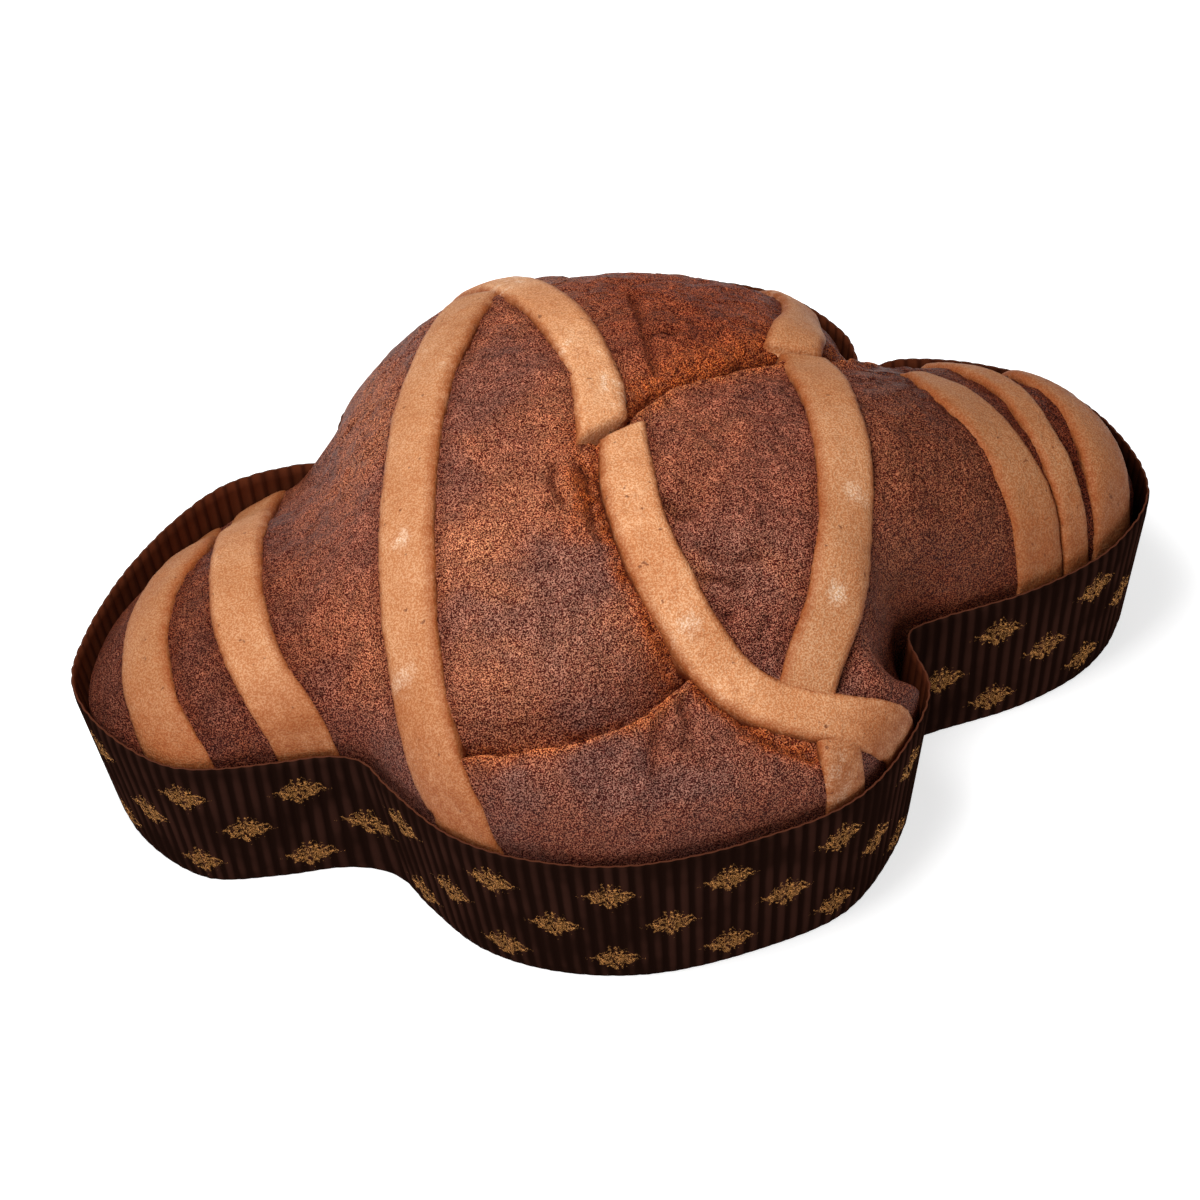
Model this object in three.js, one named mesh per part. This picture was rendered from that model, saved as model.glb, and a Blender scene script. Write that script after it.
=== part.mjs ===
// Colomba cake in its fluted paper case, uncut, with pale dough strips baked on the crust.
// Millimetres, +Z up, origin at the middle of the footprint, front lobe towards -Y.
import * as THREE from 'three';

// The paper case
const CASE_HEIGHT = 54.6;
const CASE_FLARE = 0.13;
const CASE_WALL = 1.2;
const CASE_FLOOR = 1.2;
const FIT_GAP = 0.4;

// The rim of the case in plan: left wing, front lobe, right wing, back lobe
const RIM = [
  [-80, 48], [-91, 46.5], [-111.5, 40], [-133, 17], [-147, -9.5], [-152, -33], [-141.5, -53], [-123, -67.5],
  [-100, -69], [-82, -68], [-72.5, -71], [-66, -80.5], [-50.5, -99], [-29, -110.5], [0, -115], [33, -109],
  [59.5, -97.5], [76.5, -75.5], [82, -60], [78.5, -41], [85, -37], [115.5, -28], [139.5, -13.5], [152, 6.5],
  [147.5, 30.5], [131.5, 53.5], [108.5, 66], [88.5, 70], [78, 68], [74.5, 81.5], [61, 99.5], [37.5, 111],
  [1, 114.7], [-37, 106], [-63, 87], [-76, 65.5],
];
const RIM_STEPS = 4;

// The risen dough: each piece is a dome with a middle, two half lengths, a turn in degrees,
// a top and a drop
const MOUND = { x: -19, y: 3, a: 68.5, b: 106, turn: -2, top: 103.5, drop: 55.5 };
const LEFT_WING = { x: -83.5, y: -24.5, a: 68.5, b: 59, turn: 12, top: 76, drop: 43.5 };
const FRONT_LOBE = { x: -3, y: -75, a: 82, b: 53.5, turn: 6, top: 76.5, drop: 29.5 };
const CROSS_ROLL = { x: 12.5, y: -10, a: 97.5, b: 58, turn: 8, top: 100, drop: 28 };
const RIGHT_WING = { x: 98, y: 7.5, a: 70.5, b: 54.5, turn: 16, top: 76.4, drop: 35.5 };
const BACK_LOBE = { x: 4.5, y: 39.5, a: 79, b: 62, turn: 4, top: 98.5, drop: 45.5 };
const DOME_LIMIT = 0.9;
const SOFT_JOIN = 16;
const ROLL_JOIN = 14;
const FIRM_JOIN = 4;
const EDGE_JOIN = 8;

// The crust's edge beside the wall, and the hollow where it falls away from the wall at the right notch
const LIP_DROP = 10;
const LIP_DROP_RIGHT = 18.5;
const RIGHT_SIDE = { slope: 0.6, at: 80, fade: 12 };
const NOTCH_RISE = 11;
const NOTCH_REACH = 26;
const TIGHT_NOTCHES = [[-76, 50], [79, -42]];
const EDGE_RISE = 64;
const EDGE_REACH = 40;
const EDGE_POWER = 0.48;
const NOTCH_HOLLOW = { x: 79, y: -48, a: 16, b: 9.5, turn: 62, depth: 27 };
const HOLLOW_POWER = 4;

// The folds where dough pieces meet
const FRONT_FOLD = {
  depth: 4.6,
  width: 5,
  path: [[-46, -85.5], [-36, -87.9], [-28, -88.2], [-19.5, -88.1], [-5, -85.1], [2.6, -80.9], [15, -69.6]],
};
const SIDE_FOLD = {
  depth: 1.5,
  width: 4.5,
  path: [[15.7, -68.6], [10.4, -64.8], [4, -48], [-2.2, -26.4], [-3.3, -14], [-2, -2]],
};
const BACK_FOLD = {
  depth: 3.6,
  width: 4.5,
  path: [[-2, -2], [4.6, 4], [10.9, 13.7], [17.7, 20.4], [24.8, 23.8], [39.3, 30.6], [57, 40.7], [79, 62]],
};
const FOLD_STEPS = 6;
const NORMAL_STEP = 0.8;

// The baked dough strips
const STRIP_THICK = 2.4;
const STRIP_EDGE = 0.7;
const STRIP_GAP = 0.8;
const STRIP_LIFT = 1;
const LIFT_REACH = 14;
const STRIP_STEP = 9;
const STRIP_TURN = 0.18;
const STRIP_ACROSS = 4;
const STRIP_MARGIN = 2.4;
const STRIP_FINE = 24;
const STRIP_LEAST_RINGS = 3;
const END_SPREAD = 2.5;
const STRIPS = {
  strip_mound_left: {
    width: 16.5,
    path: [[-40, -108], [-51.4, -86], [-55.8, -52], [-54.5, -12], [-48, 32], [-37, 68]],
  },
  strip_cross_upper: {
    width: 14.8,
    path: [[-0.6, 4.5], [-1, 20], [-5, 38], [-13, 60], [-25, 84], [-43, 106]],
  },
  strip_cross_lower: {
    width: 15,
    path: [[4.6, -3.5], [5, -19], [8.2, -37.4], [17.8, -60.4], [34, -78], [56, -81.7], [80, -77.5]],
  },
  strip_right: {
    width: 15.5,
    path: [[58, 36.5], [62, 17], [64, -10], [61.6, -35], [57, -53], [50, -68]],
  },
  strip_right_front: { width: 12.5, path: [[54.7, -93], [55, -95], [56, -100]] },
  strip_back: { width: 14, path: [[56, 45.5], [58.6, 54], [60, 64], [59.5, 75], [55, 87], [46, 106]] },
  strip_left_wing_outer: {
    width: 16,
    path: [[-113, -72], [-125.5, -57], [-130, -37], [-128, -14], [-120, 8], [-119, 20], [-120, 33]],
  },
  strip_left_wing_inner: {
    width: 15.5,
    path: [[-80, -73], [-93, -59], [-102, -37], [-104.5, -10], [-103, 20], [-100, 46]],
  },
  strip_right_wing_inner: {
    width: 14.5,
    path: [[89.5, 41], [94, 33], [98.8, 25], [106.8, 9], [112.2, -6], [116, -16], [117.2, -28]],
  },
  strip_right_wing_middle: {
    width: 8.5,
    path: [[96, 62], [105.5, 48.5], [114.9, 32.7], [121.3, 12.3], [125, -2.7], [127.3, -12], [128, -20]],
  },
  strip_right_wing_outer: {
    width: 16,
    path: [[120, 61], [126, 46], [133.6, 29], [137.8, 12], [139, -3], [138, -18]],
  },
};

// Plan grid of the cake
const CAKE_MIDDLE = [-3, 2.5];
const CAKE_RINGS = 22;
const RING_EASE = 1.3;
const CELL = 10;
const CELL_ROW = 1000;
const TINY = 1e-6;

// Colours and finishes
const PAPER_COLOUR = 0x2b1f1c;
const CRUST_COLOUR = 0x6b3a22;
const STRIP_COLOUR = 0xc48a55;
const PAPER_ROUGHNESS = 0.8;
const CRUST_ROUGHNESS = 0.7;
const STRIP_ROUGHNESS = 0.75;

// A point on one centripetal spline span
function spanPoint(p0, p1, p2, p3, t) {
  const d0 = Math.sqrt(Math.hypot(p1[0] - p0[0], p1[1] - p0[1]));
  const d1 = Math.sqrt(Math.hypot(p2[0] - p1[0], p2[1] - p1[1]));
  const d2 = Math.sqrt(Math.hypot(p3[0] - p2[0], p3[1] - p2[1]));
  return [0, 1].map((k) => {
    const t1 = ((p1[k] - p0[k]) / d0 - (p2[k] - p0[k]) / (d0 + d1) + (p2[k] - p1[k]) / d1) * d1;
    const t2 = ((p2[k] - p1[k]) / d1 - (p3[k] - p1[k]) / (d1 + d2) + (p3[k] - p2[k]) / d2) * d1;
    const c2 = -3 * p1[k] + 3 * p2[k] - 2 * t1 - t2;
    const c3 = 2 * p1[k] - 2 * p2[k] + t1 + t2;
    return p1[k] + t1 * t + c2 * t * t + c3 * t * t * t;
  });
}

// A closed curve through points, with a number of steps to each span
function closedCurve(points, steps) {
  const out = [];
  const n = points.length;
  for (let i = 0; i < n; i += 1) {
    for (let k = 0; k < steps; k += 1) {
      const [p0, p1, p2, p3] = [n - 1, n, n + 1, n + 2].map((shift) => points[(i + shift) % n]);
      out.push(spanPoint(p0, p1, p2, p3, k / steps));
    }
  }
  return out;
}

// An open curve through points
function openCurve(points, steps) {
  const out = [];
  const n = points.length;
  const before = points[0].map((v, k) => 2 * v - points[1][k]);
  const after = points[n - 1].map((v, k) => 2 * v - points[n - 2][k]);
  const all = [before, ...points, after];
  for (let i = 0; i < n - 1; i += 1) {
    for (let k = 0; k < steps; k += 1) {
      out.push(spanPoint(all[i], all[i + 1], all[i + 2], all[i + 3], k / steps));
    }
  }
  out.push(points[n - 1]);
  return out;
}

// Moves each point of an anticlockwise closed curve inwards
function inset(curve, distance) {
  const n = curve.length;
  return curve.map((p, i) => {
    const a = curve[(i + n - 1) % n];
    const b = curve[(i + 1) % n];
    const l = Math.hypot(b[0] - a[0], b[1] - a[1]);
    const d = typeof distance === 'function' ? distance(i) : distance;
    return [p[0] - ((b[1] - a[1]) / l) * d, p[1] + ((b[0] - a[0]) / l) * d];
  });
}

// The distance from a point to a chain of points
function chainDistance(x, y, chain, closed) {
  let best = Infinity;
  const n = chain.length;
  const last = closed ? n : n - 1;
  for (let i = 0; i < last; i += 1) {
    const a = chain[i];
    const b = chain[(i + 1) % n];
    const ux = b[0] - a[0];
    const uy = b[1] - a[1];
    const t = Math.min(1, Math.max(0, ((x - a[0]) * ux + (y - a[1]) * uy) / (ux * ux + uy * uy)));
    best = Math.min(best, (x - a[0] - ux * t) ** 2 + (y - a[1] - uy * t) ** 2);
  }
  return Math.sqrt(best);
}

// Whether a point lies inside a closed curve
function inside(x, y, curve) {
  let odd = false;
  for (let i = 0, j = curve.length - 1; i < curve.length; j = i, i += 1) {
    const a = curve[i];
    const b = curve[j];
    const crosses = (a[1] > y) !== (b[1] > y);
    if (crosses && x < ((b[0] - a[0]) * (y - a[1])) / (b[1] - a[1]) + a[0]) odd = !odd;
  }
  return odd;
}

const rimCurve = closedCurve(RIM, RIM_STEPS);
const folds = [FRONT_FOLD, SIDE_FOLD, BACK_FOLD].map((fold) => {
  return { ...fold, chain: openCurve(fold.path, FOLD_STEPS) };
});

function wallDistance(x, y) {
  const d = chainDistance(x, y, rimCurve, true);
  return inside(x, y, rimCurve) ? d : -d;
}

function softMax(a, b, k) {
  const w = Math.max(k - Math.abs(a - b), 0) / k;
  return Math.max(a, b) + (w * w * k) / 4;
}

function softMin(a, b, k) {
  return -softMax(-a, -b, k);
}

// How far out in an oval a point lies: nothing at its middle, one on its edge
function ovalReach(x, y, oval) {
  const turn = THREE.MathUtils.degToRad(oval.turn);
  const p = ((x - oval.x) * Math.cos(turn) + (y - oval.y) * Math.sin(turn)) / oval.a;
  const q = (-(x - oval.x) * Math.sin(turn) + (y - oval.y) * Math.cos(turn)) / oval.b;
  return Math.hypot(p, q);
}

// The top of one risen piece of dough
function domeHeight(x, y, piece) {
  const d = ovalReach(x, y, piece);
  const s = Math.sqrt(1 - DOME_LIMIT * DOME_LIMIT);
  const bulge = d < DOME_LIMIT ? Math.sqrt(1 - d * d) : s - (DOME_LIMIT / s) * (d - DOME_LIMIT);
  return piece.top - piece.drop + piece.drop * bulge;
}

// Where the crust meets the wall: it stands higher in the tight notches between lobes
function lipHeight(x, y) {
  const right = 1 / (1 + Math.exp((RIGHT_SIDE.at - x - RIGHT_SIDE.slope * y) / RIGHT_SIDE.fade));
  let z = CASE_HEIGHT - LIP_DROP - (LIP_DROP_RIGHT - LIP_DROP) * right;
  for (const [nx, ny] of TIGHT_NOTCHES) {
    z += NOTCH_RISE * Math.exp(-(((x - nx) ** 2 + (y - ny) ** 2) / NOTCH_REACH ** 2));
  }
  return z;
}

// The height of the crust
function crustHeight(x, y) {
  const body = softMax(domeHeight(x, y, MOUND), domeHeight(x, y, LEFT_WING), SOFT_JOIN);
  const roll = softMax(domeHeight(x, y, CROSS_ROLL), domeHeight(x, y, RIGHT_WING), ROLL_JOIN);
  let z = softMax(body, roll, FIRM_JOIN);
  z = softMax(z, domeHeight(x, y, FRONT_LOBE), ROLL_JOIN);
  z = softMax(z, domeHeight(x, y, BACK_LOBE), FIRM_JOIN);
  const s = Math.max(wallDistance(x, y) - CASE_WALL - FIT_GAP, 0);
  z = softMin(z, lipHeight(x, y) + EDGE_RISE * (s / EDGE_REACH) ** EDGE_POWER, EDGE_JOIN);
  for (const fold of folds) {
    const gap = chainDistance(x, y, fold.chain, false) / fold.width;
    z -= fold.depth * Math.exp(-gap * gap);
  }
  return z - NOTCH_HOLLOW.depth * Math.exp(-(ovalReach(x, y, NOTCH_HOLLOW) ** HOLLOW_POWER));
}

// The crust's outward direction
function crustNormal(x, y) {
  return new THREE.Vector3(
    crustHeight(x - NORMAL_STEP, y) - crustHeight(x + NORMAL_STEP, y),
    crustHeight(x, y - NORMAL_STEP) - crustHeight(x, y + NORMAL_STEP),
    2 * NORMAL_STEP,
  ).normalize();
}

// A solid from rings of equal length, closed at both ends by fans
function ringSolid(rings, first, last) {
  const points = rings.flat();
  const n = rings[0].length;
  const index = [];
  for (let r = 0; r + 1 < rings.length; r += 1) {
    for (let i = 0; i < n; i += 1) {
      const a = r * n + i;
      const b = r * n + ((i + 1) % n);
      index.push(a, b, b + n, a, b + n, a + n);
    }
  }
  const low = points.length;
  points.push(first);
  const high = points.length;
  points.push(last);
  for (let i = 0; i < n; i += 1) {
    const j = (i + 1) % n;
    index.push(low, j, i);
    index.push(high, (rings.length - 1) * n + i, (rings.length - 1) * n + j);
  }
  const geometry = new THREE.BufferGeometry();
  geometry.setAttribute('position', new THREE.Float32BufferAttribute(points.flat(), 3));
  geometry.setIndex(index);
  geometry.computeVertexNormals();
  return geometry;
}

function atHeight(curve, z) {
  return curve.map((p, i) => [p[0], p[1], typeof z === 'function' ? z(i) : z]);
}

// The paper tub: foot, outer wall, rim, inner wall and floor
function caseGeometry() {
  const foot = atHeight(inset(rimCurve, CASE_FLARE * CASE_HEIGHT), 0);
  const outer = atHeight(rimCurve, CASE_HEIGHT);
  const inner = atHeight(inset(rimCurve, CASE_WALL), CASE_HEIGHT);
  const floor = atHeight(inset(rimCurve, CASE_WALL + CASE_FLARE * (CASE_HEIGHT - CASE_FLOOR)), CASE_FLOOR);
  return ringSolid([foot, outer, inner, floor], [...CAKE_MIDDLE, 0], [...CAKE_MIDDLE, CASE_FLOOR]);
}

// The cake: floor, side beside the wall, and the risen crust in rings towards the middle
function cakeGeometry() {
  const bottom = CASE_FLOOR + FIT_GAP;
  const clear = CASE_WALL + FIT_GAP;
  const near = inset(rimCurve, clear);
  const edgeHeights = near.map((p) => crustHeight(p[0], p[1]));
  const edge = inset(rimCurve, (i) => clear + CASE_FLARE * Math.max(0, CASE_HEIGHT - edgeHeights[i]));
  const base = inset(rimCurve, clear + CASE_FLARE * (CASE_HEIGHT - bottom));
  const rings = [atHeight(base, bottom), atHeight(edge, (i) => edgeHeights[i])];
  for (let r = 1; r < CAKE_RINGS; r += 1) {
    const t = 1 - (r / CAKE_RINGS) ** RING_EASE;
    rings.push(edge.map((p) => {
      const x = CAKE_MIDDLE[0] + (p[0] - CAKE_MIDDLE[0]) * t;
      const y = CAKE_MIDDLE[1] + (p[1] - CAKE_MIDDLE[1]) * t;
      return [x, y, crustHeight(x, y)];
    }));
  }
  return ringSolid(rings, [...CAKE_MIDDLE, bottom], [...CAKE_MIDDLE, crustHeight(...CAKE_MIDDLE)]);
}

// The cake's flat facets, sorted into square cells of the plan
const cakeShape = cakeGeometry();
const facetCells = new Map();

function facetCell(x, y) {
  return Math.floor(x / CELL) * CELL_ROW + Math.floor(y / CELL);
}

function sortFacets() {
  const place = cakeShape.attributes.position;
  const corner = (i) => [place.getX(i), place.getY(i), place.getZ(i)];
  for (let i = 0; i < cakeShape.index.count; i += 3) {
    const facet = [0, 1, 2].map((k) => corner(cakeShape.index.getX(i + k)));
    const low = [0, 1].map((k) => Math.min(...facet.map((c) => c[k])));
    const high = [0, 1].map((k) => Math.max(...facet.map((c) => c[k])));
    for (let x = Math.floor(low[0] / CELL) * CELL; x <= high[0]; x += CELL) {
      for (let y = Math.floor(low[1] / CELL) * CELL; y <= high[1]; y += CELL) {
        const cell = facetCell(x, y);
        if (!facetCells.has(cell)) facetCells.set(cell, []);
        facetCells.get(cell).push(facet);
      }
    }
  }
}
sortFacets();

// What a strip lies on: the crust, or a facet of the cake that stands above it
function bedHeight(x, y) {
  let z = crustHeight(x, y);
  for (const [a, b, c] of facetCells.get(facetCell(x, y)) ?? []) {
    const area = (b[0] - a[0]) * (c[1] - a[1]) - (c[0] - a[0]) * (b[1] - a[1]);
    if (Math.abs(area) > TINY) {
      const u = ((x - a[0]) * (c[1] - a[1]) - (c[0] - a[0]) * (y - a[1])) / area;
      const v = ((b[0] - a[0]) * (y - a[1]) - (x - a[0]) * (b[1] - a[1])) / area;
      const over = u >= 0 && v >= 0 && u + v <= 1;
      if (over) z = Math.max(z, a[2] + u * (b[2] - a[2]) + v * (c[2] - a[2]));
    }
  }
  return z;
}

// Whether a strip may lie here: over the rim's height near the wall, or well clear of it
function stripFits(x, y) {
  const d = wallDistance(x, y);
  if (d > STRIP_MARGIN + STRIP_THICK) return true;
  return d > STRIP_MARGIN && crustHeight(x, y) > CASE_HEIGHT + STRIP_GAP * 2;
}

// Close points along a strip's path, each with its sideways direction and the steps taken so far
function stripFrames(path) {
  const plan = openCurve(path, STRIP_FINE);
  const normals = plan.map((p) => crustNormal(...p));
  let steps = 0;
  return plan.map((p, i) => {
    const a = plan[Math.max(i - 1, 0)];
    const b = plan[Math.min(i + 1, plan.length - 1)];
    const rise = crustHeight(...b) - crustHeight(...a);
    const along = new THREE.Vector3(b[0] - a[0], b[1] - a[1], rise).normalize();
    const side = new THREE.Vector3().crossVectors(along, normals[i]).normalize();
    if (i > 0) {
      const length = Math.hypot(p[0] - a[0], p[1] - a[1], crustHeight(...p) - crustHeight(...a));
      steps += length / STRIP_STEP + normals[i].angleTo(normals[i - 1]) / STRIP_TURN;
    }
    return { x: p[0], y: p[1], side, steps };
  });
}

// A place on the crust, a number of steps along the strip and a distance across it
function stripPlace(frames, steps, across) {
  let k = 0;
  while (k < frames.length - 2 && frames[k + 1].steps < steps) k += 1;
  const t = (steps - frames[k].steps) / (frames[k + 1].steps - frames[k].steps);
  const mix = (u, v) => u + (v - u) * t;
  return [
    mix(frames[k].x, frames[k + 1].x) + mix(frames[k].side.x, frames[k + 1].side.x) * across,
    mix(frames[k].y, frames[k + 1].y) + mix(frames[k].side.y, frames[k + 1].side.y) * across,
  ];
}

// How far along the strip one lengthwise line of it runs before it reaches the wall
function stripReach(frames, across) {
  const fits = (i) => {
    const { x, y, side } = frames[i];
    return stripFits(x + side.x * across, y + side.y * across);
  };
  let low = Math.floor(frames.length / 2);
  let high = low;
  while (low > 0 && fits(low - 1)) low -= 1;
  while (high < frames.length - 1 && fits(high + 1)) high += 1;
  return [frames[low].steps, frames[high].steps];
}

// A flat band with rounded edges laid along its path on the crust
function stripGeometry(strip) {
  const frames = stripFrames(strip.path);
  const shares = Array.from({ length: STRIP_ACROSS + 1 }, (_, k) => (2 * k) / STRIP_ACROSS - 1);
  const reaches = shares.map((s) => stripReach(frames, (s * strip.width) / 2));
  const first = Math.min(...reaches.map((r) => r[0]));
  const last = Math.max(...reaches.map((r) => r[1]));
  const firstSlant = END_SPREAD * (Math.max(...reaches.map((r) => r[0])) - first) + 1;
  const lastSlant = END_SPREAD * (last - Math.min(...reaches.map((r) => r[1]))) + 1;
  const count = Math.max(STRIP_LEAST_RINGS, Math.round(last - first));
  const rings = [];
  for (let i = 0; i <= count; i += 1) {
    const lower = [];
    const upper = [];
    shares.forEach((s, k) => {
      const [from, to] = reaches[k];
      let steps = first + ((last - first) * i) / count;
      const early = Math.max(0, 1 - (steps - first) / firstSlant);
      const late = Math.max(0, 1 - (last - steps) / lastSlant);
      steps += (from - first) * early - (last - to) * late;
      const [x, y] = stripPlace(frames, steps, (s * strip.width) / 2);
      const n = crustNormal(x, y);
      const lift = STRIP_LIFT * Math.max(0, 1 - wallDistance(x, y) / LIFT_REACH);
      const foot = new THREE.Vector3(x, y, bedHeight(x, y)).addScaledVector(n, STRIP_GAP + lift);
      const thick = STRIP_EDGE + (STRIP_THICK - STRIP_EDGE) * Math.sqrt(1 - s * s);
      lower.push(foot.toArray());
      upper.push(foot.clone().addScaledVector(n, thick).toArray());
    });
    rings.push([...upper, ...lower.reverse()]);
  }
  const middle = (ring) => [0, 1, 2].map((k) => ring.reduce((sum, p) => sum + p[k], 0) / ring.length);
  return ringSolid(rings, middle(rings[0]), middle(rings[rings.length - 1]));
}

function piece(name, geometry, colour, roughness) {
  const material = new THREE.MeshStandardMaterial({ color: colour, roughness, metalness: 0 });
  const mesh = new THREE.Mesh(geometry, material);
  mesh.name = name;
  return mesh;
}

const part = new THREE.Group();
part.name = 'colomba_cake';
part.add(piece('paper_case', caseGeometry(), PAPER_COLOUR, PAPER_ROUGHNESS));
part.add(piece('cake', cakeShape, CRUST_COLOUR, CRUST_ROUGHNESS));
for (const [name, strip] of Object.entries(STRIPS)) {
  part.add(piece(name, stripGeometry(strip), STRIP_COLOUR, STRIP_ROUGHNESS));
}

export default part;
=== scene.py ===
import math

import bpy
import numpy as np
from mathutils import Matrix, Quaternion, Vector, noise


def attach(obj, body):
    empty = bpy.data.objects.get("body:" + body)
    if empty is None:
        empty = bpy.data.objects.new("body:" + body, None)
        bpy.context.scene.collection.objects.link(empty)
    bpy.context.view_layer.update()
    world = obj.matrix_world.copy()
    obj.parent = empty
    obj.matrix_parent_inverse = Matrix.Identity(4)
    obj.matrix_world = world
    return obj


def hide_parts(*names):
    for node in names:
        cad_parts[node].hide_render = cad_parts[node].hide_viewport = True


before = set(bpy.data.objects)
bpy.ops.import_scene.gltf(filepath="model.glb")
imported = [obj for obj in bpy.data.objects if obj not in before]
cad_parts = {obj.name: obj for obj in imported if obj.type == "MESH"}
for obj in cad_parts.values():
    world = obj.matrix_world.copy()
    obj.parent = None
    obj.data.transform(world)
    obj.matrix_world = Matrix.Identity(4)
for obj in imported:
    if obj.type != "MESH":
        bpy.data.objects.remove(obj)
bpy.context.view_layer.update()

# The cake's shape is written in millimetres, as it was measured, and its meshes are made in metres
MM = 0.001

# The paper case: its wall leans out by the flare, and its mesh rows are shared out between the outer wall,
# the cut edge and the inner wall
CASE_HEIGHT = 54.6
CASE_FLARE = 0.13
CASE_FLOOR = 1.2
PAPER_THICK = 0.6
PAPER_INSET = 0.1
FLUTE_COUNT = 213
FLUTE_COLUMNS = 8
FLUTE_DEPTH = 0.7
FLUTE_FADE = 4
FLUTE_ROUND = 0.8
CASE_ROWS = 40
OUTER_ROWS = 0.55
EDGE_ROWS = 0.1
RIM_WAVE = 0.7
CRIMP_WAVES = 55
FLUTE_WAVES = 90

# The rim of the case in plan: left wing, front lobe, right wing, back lobe
RIM = [
    (-80, 48), (-91, 46.5), (-111.5, 40), (-133, 17), (-147, -9.5), (-152, -33), (-141.5, -53),
    (-123, -67.5), (-100, -69), (-82, -68), (-72.5, -71), (-66, -80.5), (-50.5, -99), (-29, -110.5),
    (0, -115), (33, -109), (59.5, -97.5), (76.5, -75.5), (82, -60), (78.5, -41), (85, -37),
    (115.5, -28), (139.5, -13.5), (152, 6.5), (147.5, 30.5), (131.5, 53.5), (108.5, 66), (88.5, 70),
    (78, 68), (74.5, 81.5), (61, 99.5), (37.5, 111), (1, 114.7), (-37, 106), (-63, 87), (-76, 65.5),
]
RIM_STEPS = 4
CAKE_MIDDLE = (-3, 2.5)

# The gold print: sprigs in a lower and an upper row, and a middle row set half a step along
SPRIG_STEP = 33
SPRIG_RISE = 31
SPRIG_FOOT = 9.5
SPRIG_WIDE = 8.5
SPRIG_TALL = 6.6
SPRIG_CURLS = 66.0
PRINT_JITTER = 1.2

# The inside of the paper lies in shade on the right
INNER_SHADE = dict(start=85, full=135, share=0.35)

# The risen dough: each piece is a dome with a middle, two half lengths, a turn in degrees, a top, a drop
# and how pale and how purple its crust baked, and how dark it is from its bake and from painted shade
DOMES = {
    "mound": dict(
        x=-19, y=3, a=68.5, b=106, turn=-2, top=103.5, drop=55.5, pale=0.9, cool=0.7, dark_bake_and_shade=0),
    "left_wing": dict(
        x=-83.5, y=-24.5, a=68.5, b=59, turn=12, top=76, drop=43.5, pale=0.4, cool=0.65, dark_bake_and_shade=0.55),
    "front_lobe": dict(
        x=-3, y=-75, a=82, b=53.5, turn=6, top=76.5, drop=29.5, pale=0.35, cool=1.2, dark_bake_and_shade=0.1),
    "cross_roll": dict(
        x=12.5, y=-10, a=97.5, b=58, turn=8, top=100, drop=28, pale=0.85, cool=0.5, dark_bake_and_shade=0),
    "right_wing": dict(
        x=98, y=7.5, a=70.5, b=54.5, turn=16, top=76.4, drop=35.5, pale=0, cool=0.15, dark_bake_and_shade=0.64),
    "back_lobe": dict(
        x=4.5, y=39.5, a=79, b=62, turn=4, top=98.5, drop=45.5, pale=0.2, cool=0, dark_bake_and_shade=0.15),
}
DOME_LIMIT = 0.9
SOFT_JOIN = 16
ROLL_JOIN = 14
FIRM_JOIN = 4
EDGE_JOIN = 8
PALE_BLEND = 3

# The crust's edge beside the wall, and the hollow where it falls away from the wall at the right notch
EDGE_CLEAR = 1.6
LIP_DROP = 10
LIP_DROP_RIGHT = 18.5
RIGHT_SIDE = dict(slope=0.6, at=80, fade=12)
NOTCH_RISE = 11
NOTCH_REACH = 26
TIGHT_NOTCHES = [(-76, 50), (79, -42)]
EDGE_RISE = 64
EDGE_REACH = 40
EDGE_POWER = 0.48
NOTCH_HOLLOW = dict(x=79, y=-48, a=16, b=9.5, turn=62, depth=27, firm=4)

# The folds where dough pieces meet: on the left of its line a fold falls softly, on the right it stands up
# steeply to a torn lip, and a narrow crease runs along its bottom. Shares say how dark the painted shade in
# its crack is, how bright the painted highlight on its lip and how dim the painted shade on its left side,
# and the torn dough glows some way to either side
FOLDS = [
    dict(depth=4.6, left=6, right=2.4, lip=1.3, crease=3.0, crack_shade=0.7, shade=2.4, highlight=0.6, dim=0.5,
         glow_left=1.5, glow_right=4, path=[
             (-46, -85.5), (-36, -87.9), (-28, -88.2), (-19.5, -88.1), (-12, -87.4), (-5, -85.1),
             (2.6, -80.9), (8, -76.6), (15, -69.6)]),
    dict(depth=1.2, left=4, right=3, lip=0.3, crease=0.8, crack_shade=0.2, shade=1.6, highlight=0.3, dim=0,
         glow_left=3.6, glow_right=5, path=[
             (47, -91.5), (34, -88.4), (24, -79.5), (15.7, -68.6), (10.4, -64.8), (7, -58.4), (4, -48),
             (0.8, -38), (-2.2, -26.4), (-3.3, -14), (-2, -2)]),
    dict(depth=4.2, left=4.5, right=2.0, lip=1.0, crease=3.2, crack_shade=0.7, shade=3.6, highlight=0.5, dim=0,
         glow_left=9, glow_right=3, path=[
             (-2, -2), (4.6, 4), (10.9, 13.7), (17.7, 20.4), (24.8, 23.8), (39.3, 30.6), (57, 40.7),
             (67, 48), (79, 62)]),
]
# How far the painted shade on a fold's dim side reaches to its left and right
DIM_LEFT = 9
DIM_RIGHT = 1
LIP_AT = 3.2
LIP_WIDTH = 1.9
PATH_STEPS = 6
CREASE_WIDTH = 1.6
CRACK_WIDTH = 1.2

# Creases wander off their line in long waves, and in short ones too where they are cut into the crust
CREASE_STRAY = 1.7
LONG_STRAY = 9
SHORT_STRAY = 3.5
SHORT_STRAY_SHARE = 0.6
STRAY_LEVEL = 0.5
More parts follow.
